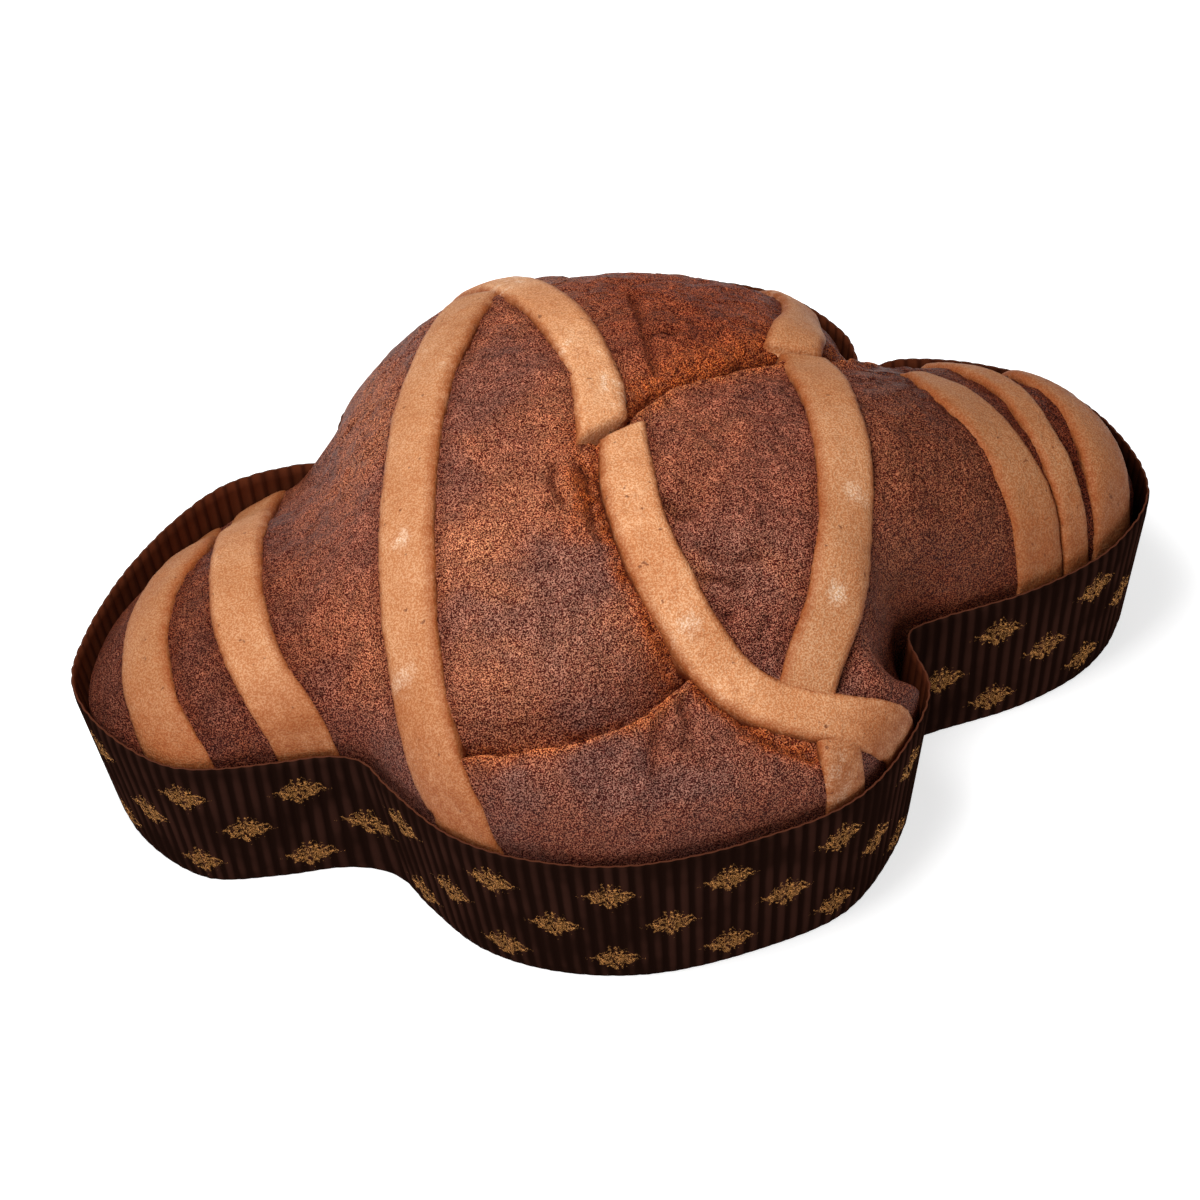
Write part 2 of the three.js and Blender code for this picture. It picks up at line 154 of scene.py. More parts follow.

# Small creases, nicks and wrinkles in the crust: they keep closer to their lines than a fold's crease does,
# and a crack, painted as shade, takes up a share of a nick's width
NICK_STEADY = 3
NICK_CRACK = 0.6
NICKS = [
    dict(depth=2.4, width=1.6, crack_shade=0.3, path=[(11.4, 65.4), (13.8, 43.7), (15.5, 27.7)]),
    dict(depth=2.6, width=1.4, crack_shade=0.6, path=[(14.6, 42.7), (18, 44.2), (22.1, 43.6)]),
    dict(depth=2.8, width=1.4, crack_shade=0.5, path=[(-70.9, 37.8), (-74.5, 35.5)]),
    dict(depth=3.6, width=1.6, crack_shade=0.9, path=[(20.5, -30), (17.7, -29.2), (15, -25.2)]),
    dict(depth=2.4, width=1.5, crack_shade=0.5, path=[(19.3, -47.6), (26, -48.3), (32.4, -49.8)]),
    dict(depth=2.2, width=1.5, crack_shade=0.5, path=[(21.2, -55.8), (25, -56), (28.9, -57.2)]),
    dict(depth=1.9, width=1.6, crack_shade=0.25, path=[(24, -41), (30, -43.5), (38, -43)]),
    dict(depth=1.8, width=1.5, crack_shade=0.4, path=[(-14.4, -11), (-15.3, -17.5), (-13, -24)]),
    dict(depth=1.6, width=1.4, crack_shade=0.6, path=[(-8.5, -10), (-6.4, -12.5), (-5, -18)]),
    dict(depth=1.6, width=1.4, crack_shade=0.6, path=[(-5, -23.1), (-5, -30), (-3.5, -36)]),
    dict(depth=1.6, width=1.8, crack_shade=0.15, path=[(9, -82), (6, -90), (5, -99)]),
    dict(depth=1.4, width=1.6, crack_shade=0.15, path=[(14, -79), (15, -86), (14, -92)]),
]

# The crust is painted darker to the right, as shade, and has painted sheen in spots
SHADED_SIDE = dict(start=58, full=84, share=0.64)
SHEEN_SPOTS = [
    dict(x=-36, y=-46, across=12, along=34, pale=0.7, cool=0.1),
    dict(x=-14, y=-62, across=20, along=15, pale=0.25, cool=0.5),
    dict(x=-12, y=-46, across=12, along=14, pale=-0.3, cool=0.5),
    dict(x=34, y=-44, across=16, along=11, pale=0.5, cool=0.4),
]

# A blob of dough in the back fold, the torn end of the front fold, and a torn patch left of the crossing
# strip
DOUGH_BLOB = dict(x=35.9, y=31.6, across=3.2, along=3.2, rise=2.2)
TORN_TIP = dict(x=14, y=-71, across=8, along=8, share=0.7)
TORN_PATCH = dict(x=-6, y=-20, across=6, along=14, depth=1.0)

# How far the crust is scorched and painted in shade: in creases and nicks, in the hollow and along the rim,
# and beside strips, where it is painted shade only
CREASE_SCORCH_AND_SHADE = 0.9
NICK_SCORCH_AND_SHADE = 0.6
HOLLOW_SCORCH_AND_SHADE = 0.8
SHADE_BESIDE_STRIPS = 0.5
BESIDE_REACH = 1.6
RIM_SCORCH_AND_SHADE = dict(start=3, reach=4, share=0.5)

# The relief of the crust starts a little way in from the wall
RELIEF_START = 3
RELIEF_RUN = 10

# The fine mesh of the crust
CAKE_COLUMNS = 620
CAKE_RINGS = 140
RING_EASE = 1.3
SIDE_ROWS = 4
FLOOR_GAP = 0.4
CAKE_BOTTOM = CASE_FLOOR + FLOOR_GAP

# The make of the dough strips: thickness, mesh steps and rough edges, and how they widen from their start,
# thin beside the wall and brown towards the rim and along their sides
STRIP_THICK = 2.0
STRIP_SINK = 1.6
STRIP_ROUND = 32
STRIP_STEP = 1.1
STRIP_FINE = 24
STRIP_LEAD = 8
STRIP_CLEAR = -0.6
STRIP_RAGGED = 0.5
STRIP_FRAY = 1.2
STRIP_WOBBLE = 0.12
STRIP_LEAST_STEPS = 4
STRIP_FLANK = 5.0
START_RUN = 22
WALL_THIN = dict(run=11, least=0.4)
RIM_BROWN = dict(start=22, full=2, share=0.85)
BROWN_RIGHT = 0.55
BROWN_LEFT = -0.7
RIM_OVERLAP = 4

# The unevenness of a strip: its torn ends in waves from side to side, its sway, fray and swell in waves to a
# metre, and how far the pattern has moved on from one side to the other
TEAR_WAVES = 2.5
SWAY_WAVES = 60
SWAY_ACROSS = 4
FRAY_WAVES = 420
SWELL_WAVES = 90
SWELL_ACROSS = 6
SWELL_GAIN = 0.8
SWELL_LEAST = 0.6

# How high above the floor, in metres, the strips look down for their bed, and how far
LOOK_FROM = 0.3
LOOK_DOWN = 0.6

# How the strips end and lie on their bed
END_ROUND = 1.6
END_TUCK = 9
WALL_ROOM = 1.5
NORMAL_STEP = 0.8
BED_STEP = 1.6
BED_EDGE = 0.6
BED_FALL = 5
BED_MARGIN = 9

# The baked dough strips: width, darkness from their bake and from painted shade, and path in plan. An end
# may slant, bow out, start at a share of the width, or thin out over a tuck where it runs under another
# strip
STRIPS = {
    "strip_mound_left": dict(width=17.2, bake=0.45, end_tuck=END_TUCK, path=[
        (-40, -108), (-51.4, -86), (-55.8, -52), (-54.5, -12), (-48, 32), (-35, 73), (-30, 83)]),
    "strip_cross_upper": dict(width=15, bake=0.0, start_slant=5.6, path=[
        (-0.6, 0.8), (-1, 20), (-5, 38), (-13, 60), (-25, 84), (-43, 106)]),
    "strip_cross_lower": dict(
        width=15.5, bake=0.05, start_slant=4.6, start_bow=0.6, start_width=0.85, path=[
            (5.1, 0.8), (4.8, -6), (5, -19), (8.2, -37.4), (17.8, -60.4), (34, -78), (56, -81.7),
            (80, -77.5)]),
    "strip_right": dict(width=15.8, bake=0.55, end_tuck=END_TUCK, path=[
        (58, 39.6), (58.8, 35), (62, 17), (64, -10), (61.6, -35), (57, -53), (49.6, -68.5), (46, -79)]),
    "strip_right_front": dict(width=12.5, bake=0.3, start_tuck=5, path=[
        (54, -85), (54.6, -91), (55.2, -96.5), (56, -103)]),
    "strip_back": dict(width=14.5, bake=0.3, start_slant=2.2, start_bow=0.5, start_width=1.2, path=[
        (55, 40.6), (56.6, 48), (58.6, 54), (60, 64), (59.5, 75), (55, 87), (46, 108)]),
    "strip_left_wing_outer": dict(width=16, bake=0.75, path=[
        (-113, -74), (-125.5, -57), (-130, -37), (-128, -14), (-120, 8), (-119, 20), (-120, 35)]),
    "strip_left_wing_inner": dict(width=15.5, bake=0.42, path=[
        (-78, -75), (-93, -59), (-102, -37), (-104.5, -10), (-103, 20), (-100, 48)]),
    "strip_right_wing_inner": dict(width=15.2, bake=0.88, start_width=0.35, start_tuck=6, path=[
        (88, 43.5), (93.5, 33), (98.5, 25), (106.8, 9), (112.2, -6), (116, -16), (117.5, -31)]),
    "strip_right_wing_middle": dict(width=8.8, bake=0.8, start_width=0.7, path=[
        (96, 63), (105.5, 48.5), (114.9, 32.7), (121.1, 12.3), (124.8, -2.7), (127.2, -12), (128, -24)]),
    "strip_right_wing_outer": dict(width=17.5, bake=0.7, path=[
        (120, 63), (126, 46), (133.7, 29.5), (137.8, 13), (139.4, -3), (138.6, -20)]),
}

# Where flour still lies on the strips: a place in plan and a reach, with a ragged edge
FLOUR_RAGGED = 2.4
FLOUR_OUTER = 2.2
FLOUR_INNER = 0.9
FLOUR_SHARE = 0.5
FLOUR_SPOTS = [(-57.5, -27.4, 4), (-60, -65.1, 5), (17.8, -61.8, 4.4), (65.7, -24.4, 4.2), (58.1, -52.5, 4)]

# The studio: half the floor's width in millimetres, and the room light and soft boxes, in metres and watts
FLOOR_SIZE = 4000
FLOOR_GLOW = 0.7
ROOM_LIGHT = 0.16
SOFT_BOXES = {
    "key_box": dict(place=(-0.13, -0.12, 0.65), size=0.32, power=4.2),
    "side_box": dict(place=(-0.9, -0.8, 0.9), size=0.8, power=3),
}

# The camera: the photograph's viewing angle
PHOTO_LENS = 114
PHOTO_SENSOR = 36
PHOTO_ELEVATION = math.radians(46)
PHOTO_ROLL = math.radians(-4.8)
PHOTO_DISTANCE = 1.132
PHOTO_TARGET = Vector((-5.1, 34.7, 0)) * MM


def paint(red, green, blue):
    """A linear colour from levels of 0 to 255 as a screen shows them."""
    levels = [v / 255 for v in (red, green, blue)]
    return tuple(v / 12.92 if v <= 0.04045 else ((v + 0.055) / 1.055) ** 2.4 for v in levels) + (1.0,)


# Colours of the crust, from its ground tones to the painted shade of its darkest cracks
WARM_CRUST = paint(108, 47, 27), paint(142, 66, 39)
PURPLE_CRUST = paint(94, 60, 55), paint(122, 79, 69)
TAN_CRUST = paint(172, 108, 76)
# Darker crust where it baked darker, and painted shade on the wings and on the right
BAKED_DARK_AND_SHADED_CRUST = paint(74, 32, 19)
TORN_DOUGH = paint(172, 85, 38)
FLAKED_CRUST = paint(104, 44, 18)
# Scorched crust, and painted shade in creases, nicks and the hollow, beside the strips and along the rim
SCORCHED_AND_SHADED_CRUST = paint(80, 28, 9)
# Painted highlight on the torn lips of the folds
LIP_HIGHLIGHT = paint(182, 102, 57)
CRACK_SHADE = paint(42, 15, 7)

# Colours of the strips
PALE_DOUGH = paint(204, 138, 91), paint(222, 160, 113)
BROWN_DOUGH = paint(156, 98, 58)
MOTTLED_DOUGH = paint(178, 108, 64)
FLOUR = paint(240, 210, 180)
BAKED_EDGE = paint(152, 80, 36)
PIN_PRICK = paint(104, 50, 25)

# Colours of the paper, with painted shade in its furrows and a painted highlight on its ridges
OUTER_PAPER = paint(26, 13, 9), paint(48, 27, 21)
INNER_PAPER = paint(57, 25, 14), paint(84, 40, 23)
GOLD_PRINT = paint(198, 138, 76)
CUT_EDGE = paint(84, 46, 32)

# The patterns of crust, dough and paper: how many waves to a metre
CRUST_PATCHES = 27
CRUST_BLOTCHES = 120
CRUST_RAGS = 330
CRUST_PITS = 800
CRUST_GRAIN = 2700
DOUGH_CLOUDS = 45
DOUGH_MOTTLE = 240
DOUGH_PRICKS = 420
DOUGH_GRAIN = 2000
PAPER_CLOUDS = 60
PAPER_FIBRE = 600

# The part of a grain's pattern that runs from its dark specks to its light ones
GRAIN_LOW = 0.42
GRAIN_HIGH = 0.6


# Curves in plan

def span_points(p0, p1, p2, p3, t):
    """Points on one span of a centripetal spline."""
    d0, d1, d2 = (math.sqrt(math.dist(a, b)) for a, b in ((p0, p1), (p1, p2), (p2, p3)))
    p0, p1, p2, p3 = (np.array(p, float) for p in (p0, p1, p2, p3))
    t1 = ((p1 - p0) / d0 - (p2 - p0) / (d0 + d1) + (p2 - p1) / d1) * d1
    t2 = ((p2 - p1) / d1 - (p3 - p1) / (d1 + d2) + (p3 - p2) / d2) * d1
    c2 = -3 * p1 + 3 * p2 - 2 * t1 - t2
    c3 = 2 * p1 - 2 * p2 + t1 + t2
    t = t[:, None]
    return p1 + t1 * t + c2 * t * t + c3 * t * t * t


def closed_curve(points, steps):
    """A smooth curve through points and back to the first."""
    t = np.arange(steps) / steps
    n = len(points)
    spans = [[points[(i + k) % n] for k in (-1, 0, 1, 2)] for i in range(n)]
    return np.concatenate([span_points(*span, t) for span in spans])


def open_curve(points, steps):
    """A smooth curve from the first point to the last."""
    first = [2 * a - b for a, b in zip(points[0], points[1])]
    last = [2 * a - b for a, b in zip(points[-1], points[-2])]
    every = [first, *points, last]
    t = np.arange(steps) / steps
    spans = [span_points(*every[i:i + 4], t) for i in range(len(points) - 1)]
    return np.concatenate([*spans, [points[-1]]])


def even_ring(curve, count):
    """A closed curve again, in a number of even steps."""
    loop = np.concatenate([curve, curve[:1]])
    length = np.concatenate([[0], np.cumsum(np.hypot(*np.diff(loop, axis=0).T))])
    at = np.linspace(0, length[-1], count, endpoint=False)
    return np.stack([np.interp(at, length, loop[:, k]) for k in (0, 1)], axis=1)


def inset(curve, distance):
    """An anticlockwise closed curve moved inwards."""
    along = np.roll(curve, -1, axis=0) - np.roll(curve, 1, axis=0)
    along /= np.hypot(*along.T)[:, None]
    return curve + np.stack([-along[:, 1], along[:, 0]], axis=1) * np.reshape(distance, (-1, 1))


def chain_distance(x, y, chain, closed=False):
    """The distance from points to a chain of points."""
    best = np.full(np.shape(x), np.inf)
    ends = np.roll(chain, -1, axis=0) if closed else chain[1:]
    for (ax, ay), (bx, by) in zip(chain, ends):
        ux, uy = bx - ax, by - ay
        t = np.clip(((x - ax) * ux + (y - ay) * uy) / (ux * ux + uy * uy), 0, 1)
        best = np.minimum(best, (x - ax - ux * t) ** 2 + (y - ay - uy * t) ** 2)
    return np.sqrt(best)


def inside(x, y, curve):
    """Whether points lie inside a closed curve."""
    odd = np.zeros(np.shape(x), bool)
    for (ax, ay), (bx, by) in zip(curve, np.roll(curve, 1, axis=0)):
        if ay != by:
            odd ^= ((ay > y) != (by > y)) & (x < (bx - ax) * (y - ay) / (by - ay) + ax)
    return odd


rim_curve = closed_curve(RIM, RIM_STEPS)
fold_chains = [open_curve(fold["path"], PATH_STEPS) for fold in FOLDS]


def fold_gap(x, y, chain):
    """The distance from points to an open chain, below zero on its right side."""
    best = np.full(np.shape(x), np.inf)
    turn = np.zeros(np.shape(x))
    for (ax, ay), (bx, by) in zip(chain[:-1], chain[1:]):
        ux, uy = bx - ax, by - ay
        t = np.clip(((x - ax) * ux + (y - ay) * uy) / (ux * ux + uy * uy), 0, 1)
        gap = np.hypot(x - ax - ux * t, y - ay - uy * t)
        turn = np.where(gap < best, ux * (y - ay) - uy * (x - ax), turn)
        best = np.minimum(gap, best)
    return np.where(turn < 0, -best, best)


def either_side(gap, left, right):
    """One on a fold's line, falling away over one width on its left and another on its right."""
    return np.exp(-(gap / np.where(gap > 0, left, right)) ** 2)


def wall_distance(x, y):
    """How far inside the rim points lie, below zero outside it."""
    d = chain_distance(x, y, rim_curve, closed=True)
    return np.where(inside(x, y, rim_curve), d, -d)


# The crust's height

def soft_max(a, b, k):
    """The higher of two heights, rounded where they are nearly the same."""
    w = np.maximum(k - np.abs(a - b), 0) / k
    return np.maximum(a, b) + w * w * k / 4


def oval_reach(x, y, oval):
    """How far out in an oval points lie: nothing at its middle, one on its edge."""
    turn = math.radians(oval["turn"])
    px, py = x - oval["x"], y - oval["y"]
    p = (px * math.cos(turn) + py * math.sin(turn)) / oval["a"]
    q = (-px * math.sin(turn) + py * math.cos(turn)) / oval["b"]
    return np.hypot(p, q)


def dome_height(x, y, dome):
    """A round dome that runs on straight down past its limit."""
    d = oval_reach(x, y, dome)
    s = math.sqrt(1 - DOME_LIMIT ** 2)
    round_top = np.sqrt(np.maximum(1 - d * d, 0))
    bulge = np.where(d < DOME_LIMIT, round_top, s - DOME_LIMIT / s * (d - DOME_LIMIT))
    return dome["top"] - dome["drop"] + dome["drop"] * bulge


def lip_height(x, y):
    """Where the crust meets the wall: it stands higher in the tight notches between lobes."""
    right = 1 / (1 + np.exp((RIGHT_SIDE["at"] - x - RIGHT_SIDE["slope"] * y) / RIGHT_SIDE["fade"]))
    z = CASE_HEIGHT - LIP_DROP - (LIP_DROP_RIGHT - LIP_DROP) * right
    for nx, ny in TIGHT_NOTCHES:
        z = z + NOTCH_RISE * np.exp(-((x - nx) ** 2 + (y - ny) ** 2) / NOTCH_REACH ** 2)
    return z


def hollow_share(x, y):
    """One in the hollow at the right notch, nothing away from it."""
    return np.exp(-oval_reach(x, y, NOTCH_HOLLOW) ** NOTCH_HOLLOW["firm"])


def risen_height(x, y):
    """The domes of dough grown together, without folds or an edge."""
    h = {name: dome_height(x, y, dome) for name, dome in DOMES.items()}
    body = soft_max(h["mound"], h["left_wing"], SOFT_JOIN)
    roll = soft_max(h["cross_roll"], h["right_wing"], ROLL_JOIN)
    z = soft_max(body, roll, FIRM_JOIN)
    z = soft_max(z, h["front_lobe"], ROLL_JOIN)
    return soft_max(z, h["back_lobe"], FIRM_JOIN)


def edge_height(x, y, s):
    """The height that the case leaves to the crust, a distance from its edge."""
    return lip_height(x, y) + EDGE_RISE * (s / EDGE_REACH) ** EDGE_POWER


def fold_depth(x, y):
    """How far the folds press the crust down, below zero on their lips."""
    depth = 0
    for fold, chain in zip(FOLDS, fold_chains):
        gap = fold_gap(x, y, chain)
        depth = depth + fold["depth"] * either_side(gap, fold["left"], fold["right"])
        depth = depth - fold["lip"] * np.exp(-((gap + LIP_AT) / LIP_WIDTH) ** 2)
    return depth


def crust_height(x, y):
    """The baked crust, with its folds and its edge."""
    s = np.maximum(wall_distance(x, y) - EDGE_CLEAR, 0)
    z = -soft_max(-risen_height(x, y), -edge_height(x, y, s), EDGE_JOIN)
    return z - fold_depth(x, y) - NOTCH_HOLLOW["depth"] * hollow_share(x, y)


def bed_height(x, y):
    """What the strips lie on: the crust without folds, falling on past the wall."""
    s = wall_distance(x, y) - EDGE_CLEAR
    edge = edge_height(x, y, np.maximum(s, BED_EDGE)) - BED_FALL * np.maximum(BED_EDGE - s, 0)
    z = -soft_max(-risen_height(x, y), -edge, EDGE_JOIN)
    return z - NOTCH_HOLLOW["depth"] * hollow_share(x, y)


def slopes(height, x, y):
    """How a height changes along x and y."""
    step = NORMAL_STEP
    return ((height(x + step, y) - height(x - step, y)) / (2 * step),
            (height(x, y + step) - height(x, y - step)) / (2 * step))


def outward(height, x, y):
    """The outward direction of a surface given by its height."""
    along_x, along_y = slopes(height, x, y)
    facing = np.stack([-along_x, -along_y, np.ones(np.shape(x))], axis=-1)
    return facing / np.linalg.norm(facing, axis=-1, keepdims=True)


# Meshes and node trees

def new_mesh(name, points, faces, edges=()):
    """A mesh from points in millimetres."""
    mesh = bpy.data.meshes.new(name)
    mesh.from_pydata((np.asarray(points, float) * MM).tolist(), [list(e) for e in edges], faces)
    mesh.update()
    return mesh


def mark(mesh, name, values):
    """Stores a number, or a direction, for each point of a mesh."""
    values = np.asarray(values, np.float32)
    kind, key = ("FLOAT_VECTOR", "vector") if values.ndim > 1 else ("FLOAT", "value")
    mesh.attributes.new(name, kind, "POINT").data.foreach_set(key, values.ravel())


class Net:
    """Adds nodes to a tree. A socket given for an input is linked to it, and anything else is set on it."""

    def __init__(self, tree):
        self.tree = tree

    def add(self, kind, inputs=None, out=0, **settings):
        node = self.tree.nodes.new(kind)
        for name, value in settings.items():
            setattr(node, name, value)
        for place, value in (inputs or {}).items():
            if isinstance(value, bpy.types.NodeSocket):
                self.tree.links.new(value, node.inputs[place])
            else:
                node.inputs[place].default_value = value
        return node if out is None else node.outputs[out]

    def math(self, operation, *values, clamp=False):
        return self.add("ShaderNodeMath", dict(enumerate(values)), operation=operation, use_clamp=clamp)

    def vector(self, operation, *values, out=0):
        return self.add("ShaderNodeVectorMath", dict(enumerate(values)), out=out, operation=operation)

    def scaled(self, vector, factor):
        return self.add("ShaderNodeVectorMath", {0: vector, "Scale": factor}, operation="SCALE")

    def join_xyz(self, x, y, z):
        return self.add("ShaderNodeCombineXYZ", {0: x, 1: y, 2: z})

    def split_xyz(self, vector):
        return self.add("ShaderNodeSeparateXYZ", {0: vector}, out=None).outputs

    def ramp(self, value, low, high, start=0.0, end=1.0):
        """A smooth step between two levels."""
        return self.add(
            "ShaderNodeMapRange",
            {"Value": value, "From Min": low, "From Max": high, "To Min": start, "To Max": end},
            interpolation_type="SMOOTHSTEP",
        )

    def noise(self, vector, scale, detail=2.0, roughness=0.5, distortion=0.0, seed=0.0):
        return self.add(
            "ShaderNodeTexNoise",
            {"Vector": vector, "W": seed, "Scale": scale, "Detail": detail, "Roughness": roughness,
             "Distortion": distortion},
            noise_dimensions="4D",
        )

    def mix(self, share, a, b):
        return self.add("ShaderNodeMix", {0: share, 6: a, 7: b}, out=2, data_type="RGBA")

    def grained(self, colour, pattern, low, high, powers, gains=(1, 1, 1)):
        """A colour with a fine grain: dark specks turn redder and light ones greyer."""
        grain = self.ramp(pattern, GRAIN_LOW, GRAIN_HIGH, low, high)
        levels = []
        for power, gain in zip(powers, gains):
            mean = (high ** (power + 1) - low ** (power + 1)) / ((power + 1) * (high - low))
            levels.append(self.math("MULTIPLY", self.math("POWER", grain, power), gain / mean))
        return self.vector("MULTIPLY", colour, self.join_xyz(*levels))


def new_tree(name, sizes):
    """A Geometry Nodes tree with named inputs: the tree, its net and its input sockets."""
    tree = bpy.data.node_groups.new(name, "GeometryNodeTree")
    tree.interface.new_socket("Geometry", in_out="INPUT", socket_type="NodeSocketGeometry")
    for label, kind in sizes.items():
        tree.interface.new_socket(label, in_out="INPUT", socket_type="NodeSocket" + kind)
    tree.interface.new_socket("Geometry", in_out="OUTPUT", socket_type="NodeSocketGeometry")
    net = Net(tree)
    given = net.add("NodeGroupInput", out=None).outputs
    return tree, net, given


def close_tree(net, shape, finish):
    """Ends a tree in one plain mesh with its finish."""
    shape = net.add("GeometryNodeSetShadeSmooth", {0: shape})
    shape = net.add("GeometryNodeRealizeInstances", {0: shape})
    shape = net.add("GeometryNodeSetMaterial", {0: shape, "Material": finish})
    net.add("NodeGroupOutput", {0: shape}, out=None)


def store(net, shape, name, value, kind="FLOAT", domain="POINT"):
    """Stores a value on a shape's points or corners."""
    return net.add("GeometryNodeStoreNamedAttribute", {"Geometry": shape, "Name": name, "Value": value},
                   data_type=kind, domain=domain)


def grow(name, seed_mesh, tree, values):
    """Runs a tree on a mesh and keeps the result as one plain mesh piece."""
    host = bpy.data.objects.new(name + "_seed", seed_mesh)
    modifier = host.modifiers.new("shape", "NODES")
    modifier.node_group = tree
    for item in tree.interface.items_tree:
        if item.in_out == "INPUT" and item.name in values:
            modifier[item.identifier] = values[item.name]
    bpy.context.scene.collection.objects.link(host)
    depsgraph = bpy.context.evaluated_depsgraph_get()
    mesh = bpy.data.meshes.new_from_object(
        host.evaluated_get(depsgraph), preserve_all_data_layers=True, depsgraph=depsgraph
    )
    host.modifiers.remove(modifier)
    bpy.data.objects.remove(host)
    mesh.name = name
    piece = bpy.data.objects.new(name, mesh)
    bpy.context.scene.collection.objects.link(piece)
    return piece


# Finishes

def new_finish(name):
    """A material with its net, its shader and the coordinates of the piece."""
    material = bpy.data.materials.new(name)
    material.use_nodes = True
    net = Net(material.node_tree)
    shader = material.node_tree.nodes["Principled BSDF"]
    place = net.add("ShaderNodeTexCoord", out="Object")
    return material, net, shader, place


def marked(net, name, out="Fac"):
    """A mark stored on the piece."""
    return net.add("ShaderNodeAttribute", out=out, attribute_name=name)


def crust_finish():
    """Dark baked crust: red-brown to purple mottling, tan bloom, orange torn dough, scorching and dark
    cracks, with painted shade, painted highlights on the lips and painted sheen in spots.
    """
    material, net, shader, place = new_finish("baked_crust")
    patches = net.noise(place, CRUST_PATCHES, 3, 0.55, 0.6)
    blotches = net.noise(place, CRUST_BLOTCHES, 4, 0.65, 0.3, seed=4)
    rags = net.noise(place, CRUST_RAGS, 3, 0.6, 0.4, seed=6)
    pits = net.noise(place, CRUST_PITS, 2, 0.6, seed=8)
    grain = net.noise(place, CRUST_GRAIN, 1, 0.5, seed=7)

    def broken(name, pattern):
        """A mark on the crust, broken up by a pattern."""
        return net.math("MULTIPLY", marked(net, name), pattern, clamp=True)

    mottle = net.ramp(blotches, 0.36, 0.64)
    warm = net.mix(mottle, *WARM_CRUST)
    purple = net.mix(mottle, *PURPLE_CRUST)
    base = net.mix(broken("cool", net.ramp(patches, 0.6, 0.4, 0.55, 1.1)), warm, purple)
    base = net.mix(broken("pale", net.ramp(patches, 0.38, 0.68, 0.12, 0.55)), base, TAN_CRUST)
    # Darker where the crust baked darker, and painted shade on the wings and on the right
    base = net.mix(marked(net, "dark_bake_and_shade"), base, BAKED_DARK_AND_SHADED_CRUST)
    coarse = net.ramp(blotches, 0.34, 0.52, 0.6, 1.0)
    ragged = net.math("MULTIPLY", net.ramp(rags, 0.36, 0.56, 0.45, 1.0), coarse)
    baked = net.mix(broken("glow", ragged), base, TORN_DOUGH)
    flaked = net.ramp(net.math("MULTIPLY_ADD", marked(net, "torn"), 0.4, rags), 0.72, 0.84, 0.0, 0.45)
    baked = net.mix(flaked, baked, FLAKED_CRUST)
    # Scorching, and painted shade in creases, nicks, the hollow, beside strips and along the rim
    baked = net.mix(broken("scorch_and_shade", ragged), baked, SCORCHED_AND_SHADED_CRUST)
    # Painted highlight on the torn lips
    baked = net.mix(broken("lip", ragged), baked, LIP_HIGHLIGHT)
    # Painted shade in the cracks of folds and nicks
    baked = net.mix(broken("crack_shade", net.ramp(rags, 0.4, 0.58, 0.1, 1.0)), baked, CRACK_SHADE)
    leathery = net.scaled(baked, net.ramp(rags, 0.36, 0.62, 0.88, 1.09))
    pitted = net.scaled(leathery, net.ramp(pits, 0.34, 0.6, 0.85, 1.08))
    specks = net.grained(pitted, grain, 0.3, 1.9, (1.2, 1.9, 1.9), (1.4, 1.28, 1.24))
    net.tree.links.new(specks, shader.inputs["Base Color"])
    net.tree.links.new(net.ramp(blotches, 0.35, 0.65, 0.45, 0.65), shader.inputs["Roughness"])
    shader.inputs["Specular IOR Level"].default_value = 0.1
    height = net.math("MULTIPLY_ADD", rags, 1.3, net.math("MULTIPLY", blotches, 2.4))
    height = net.math("MULTIPLY_ADD", pits, 1.1, net.math("MULTIPLY_ADD", grain, 0.9, height))
    bump = net.add("ShaderNodeBump", {"Strength": 1.0, "Distance": 1.2 * MM, "Height": height})
    net.tree.links.new(bump, shader.inputs["Normal"])
    return material


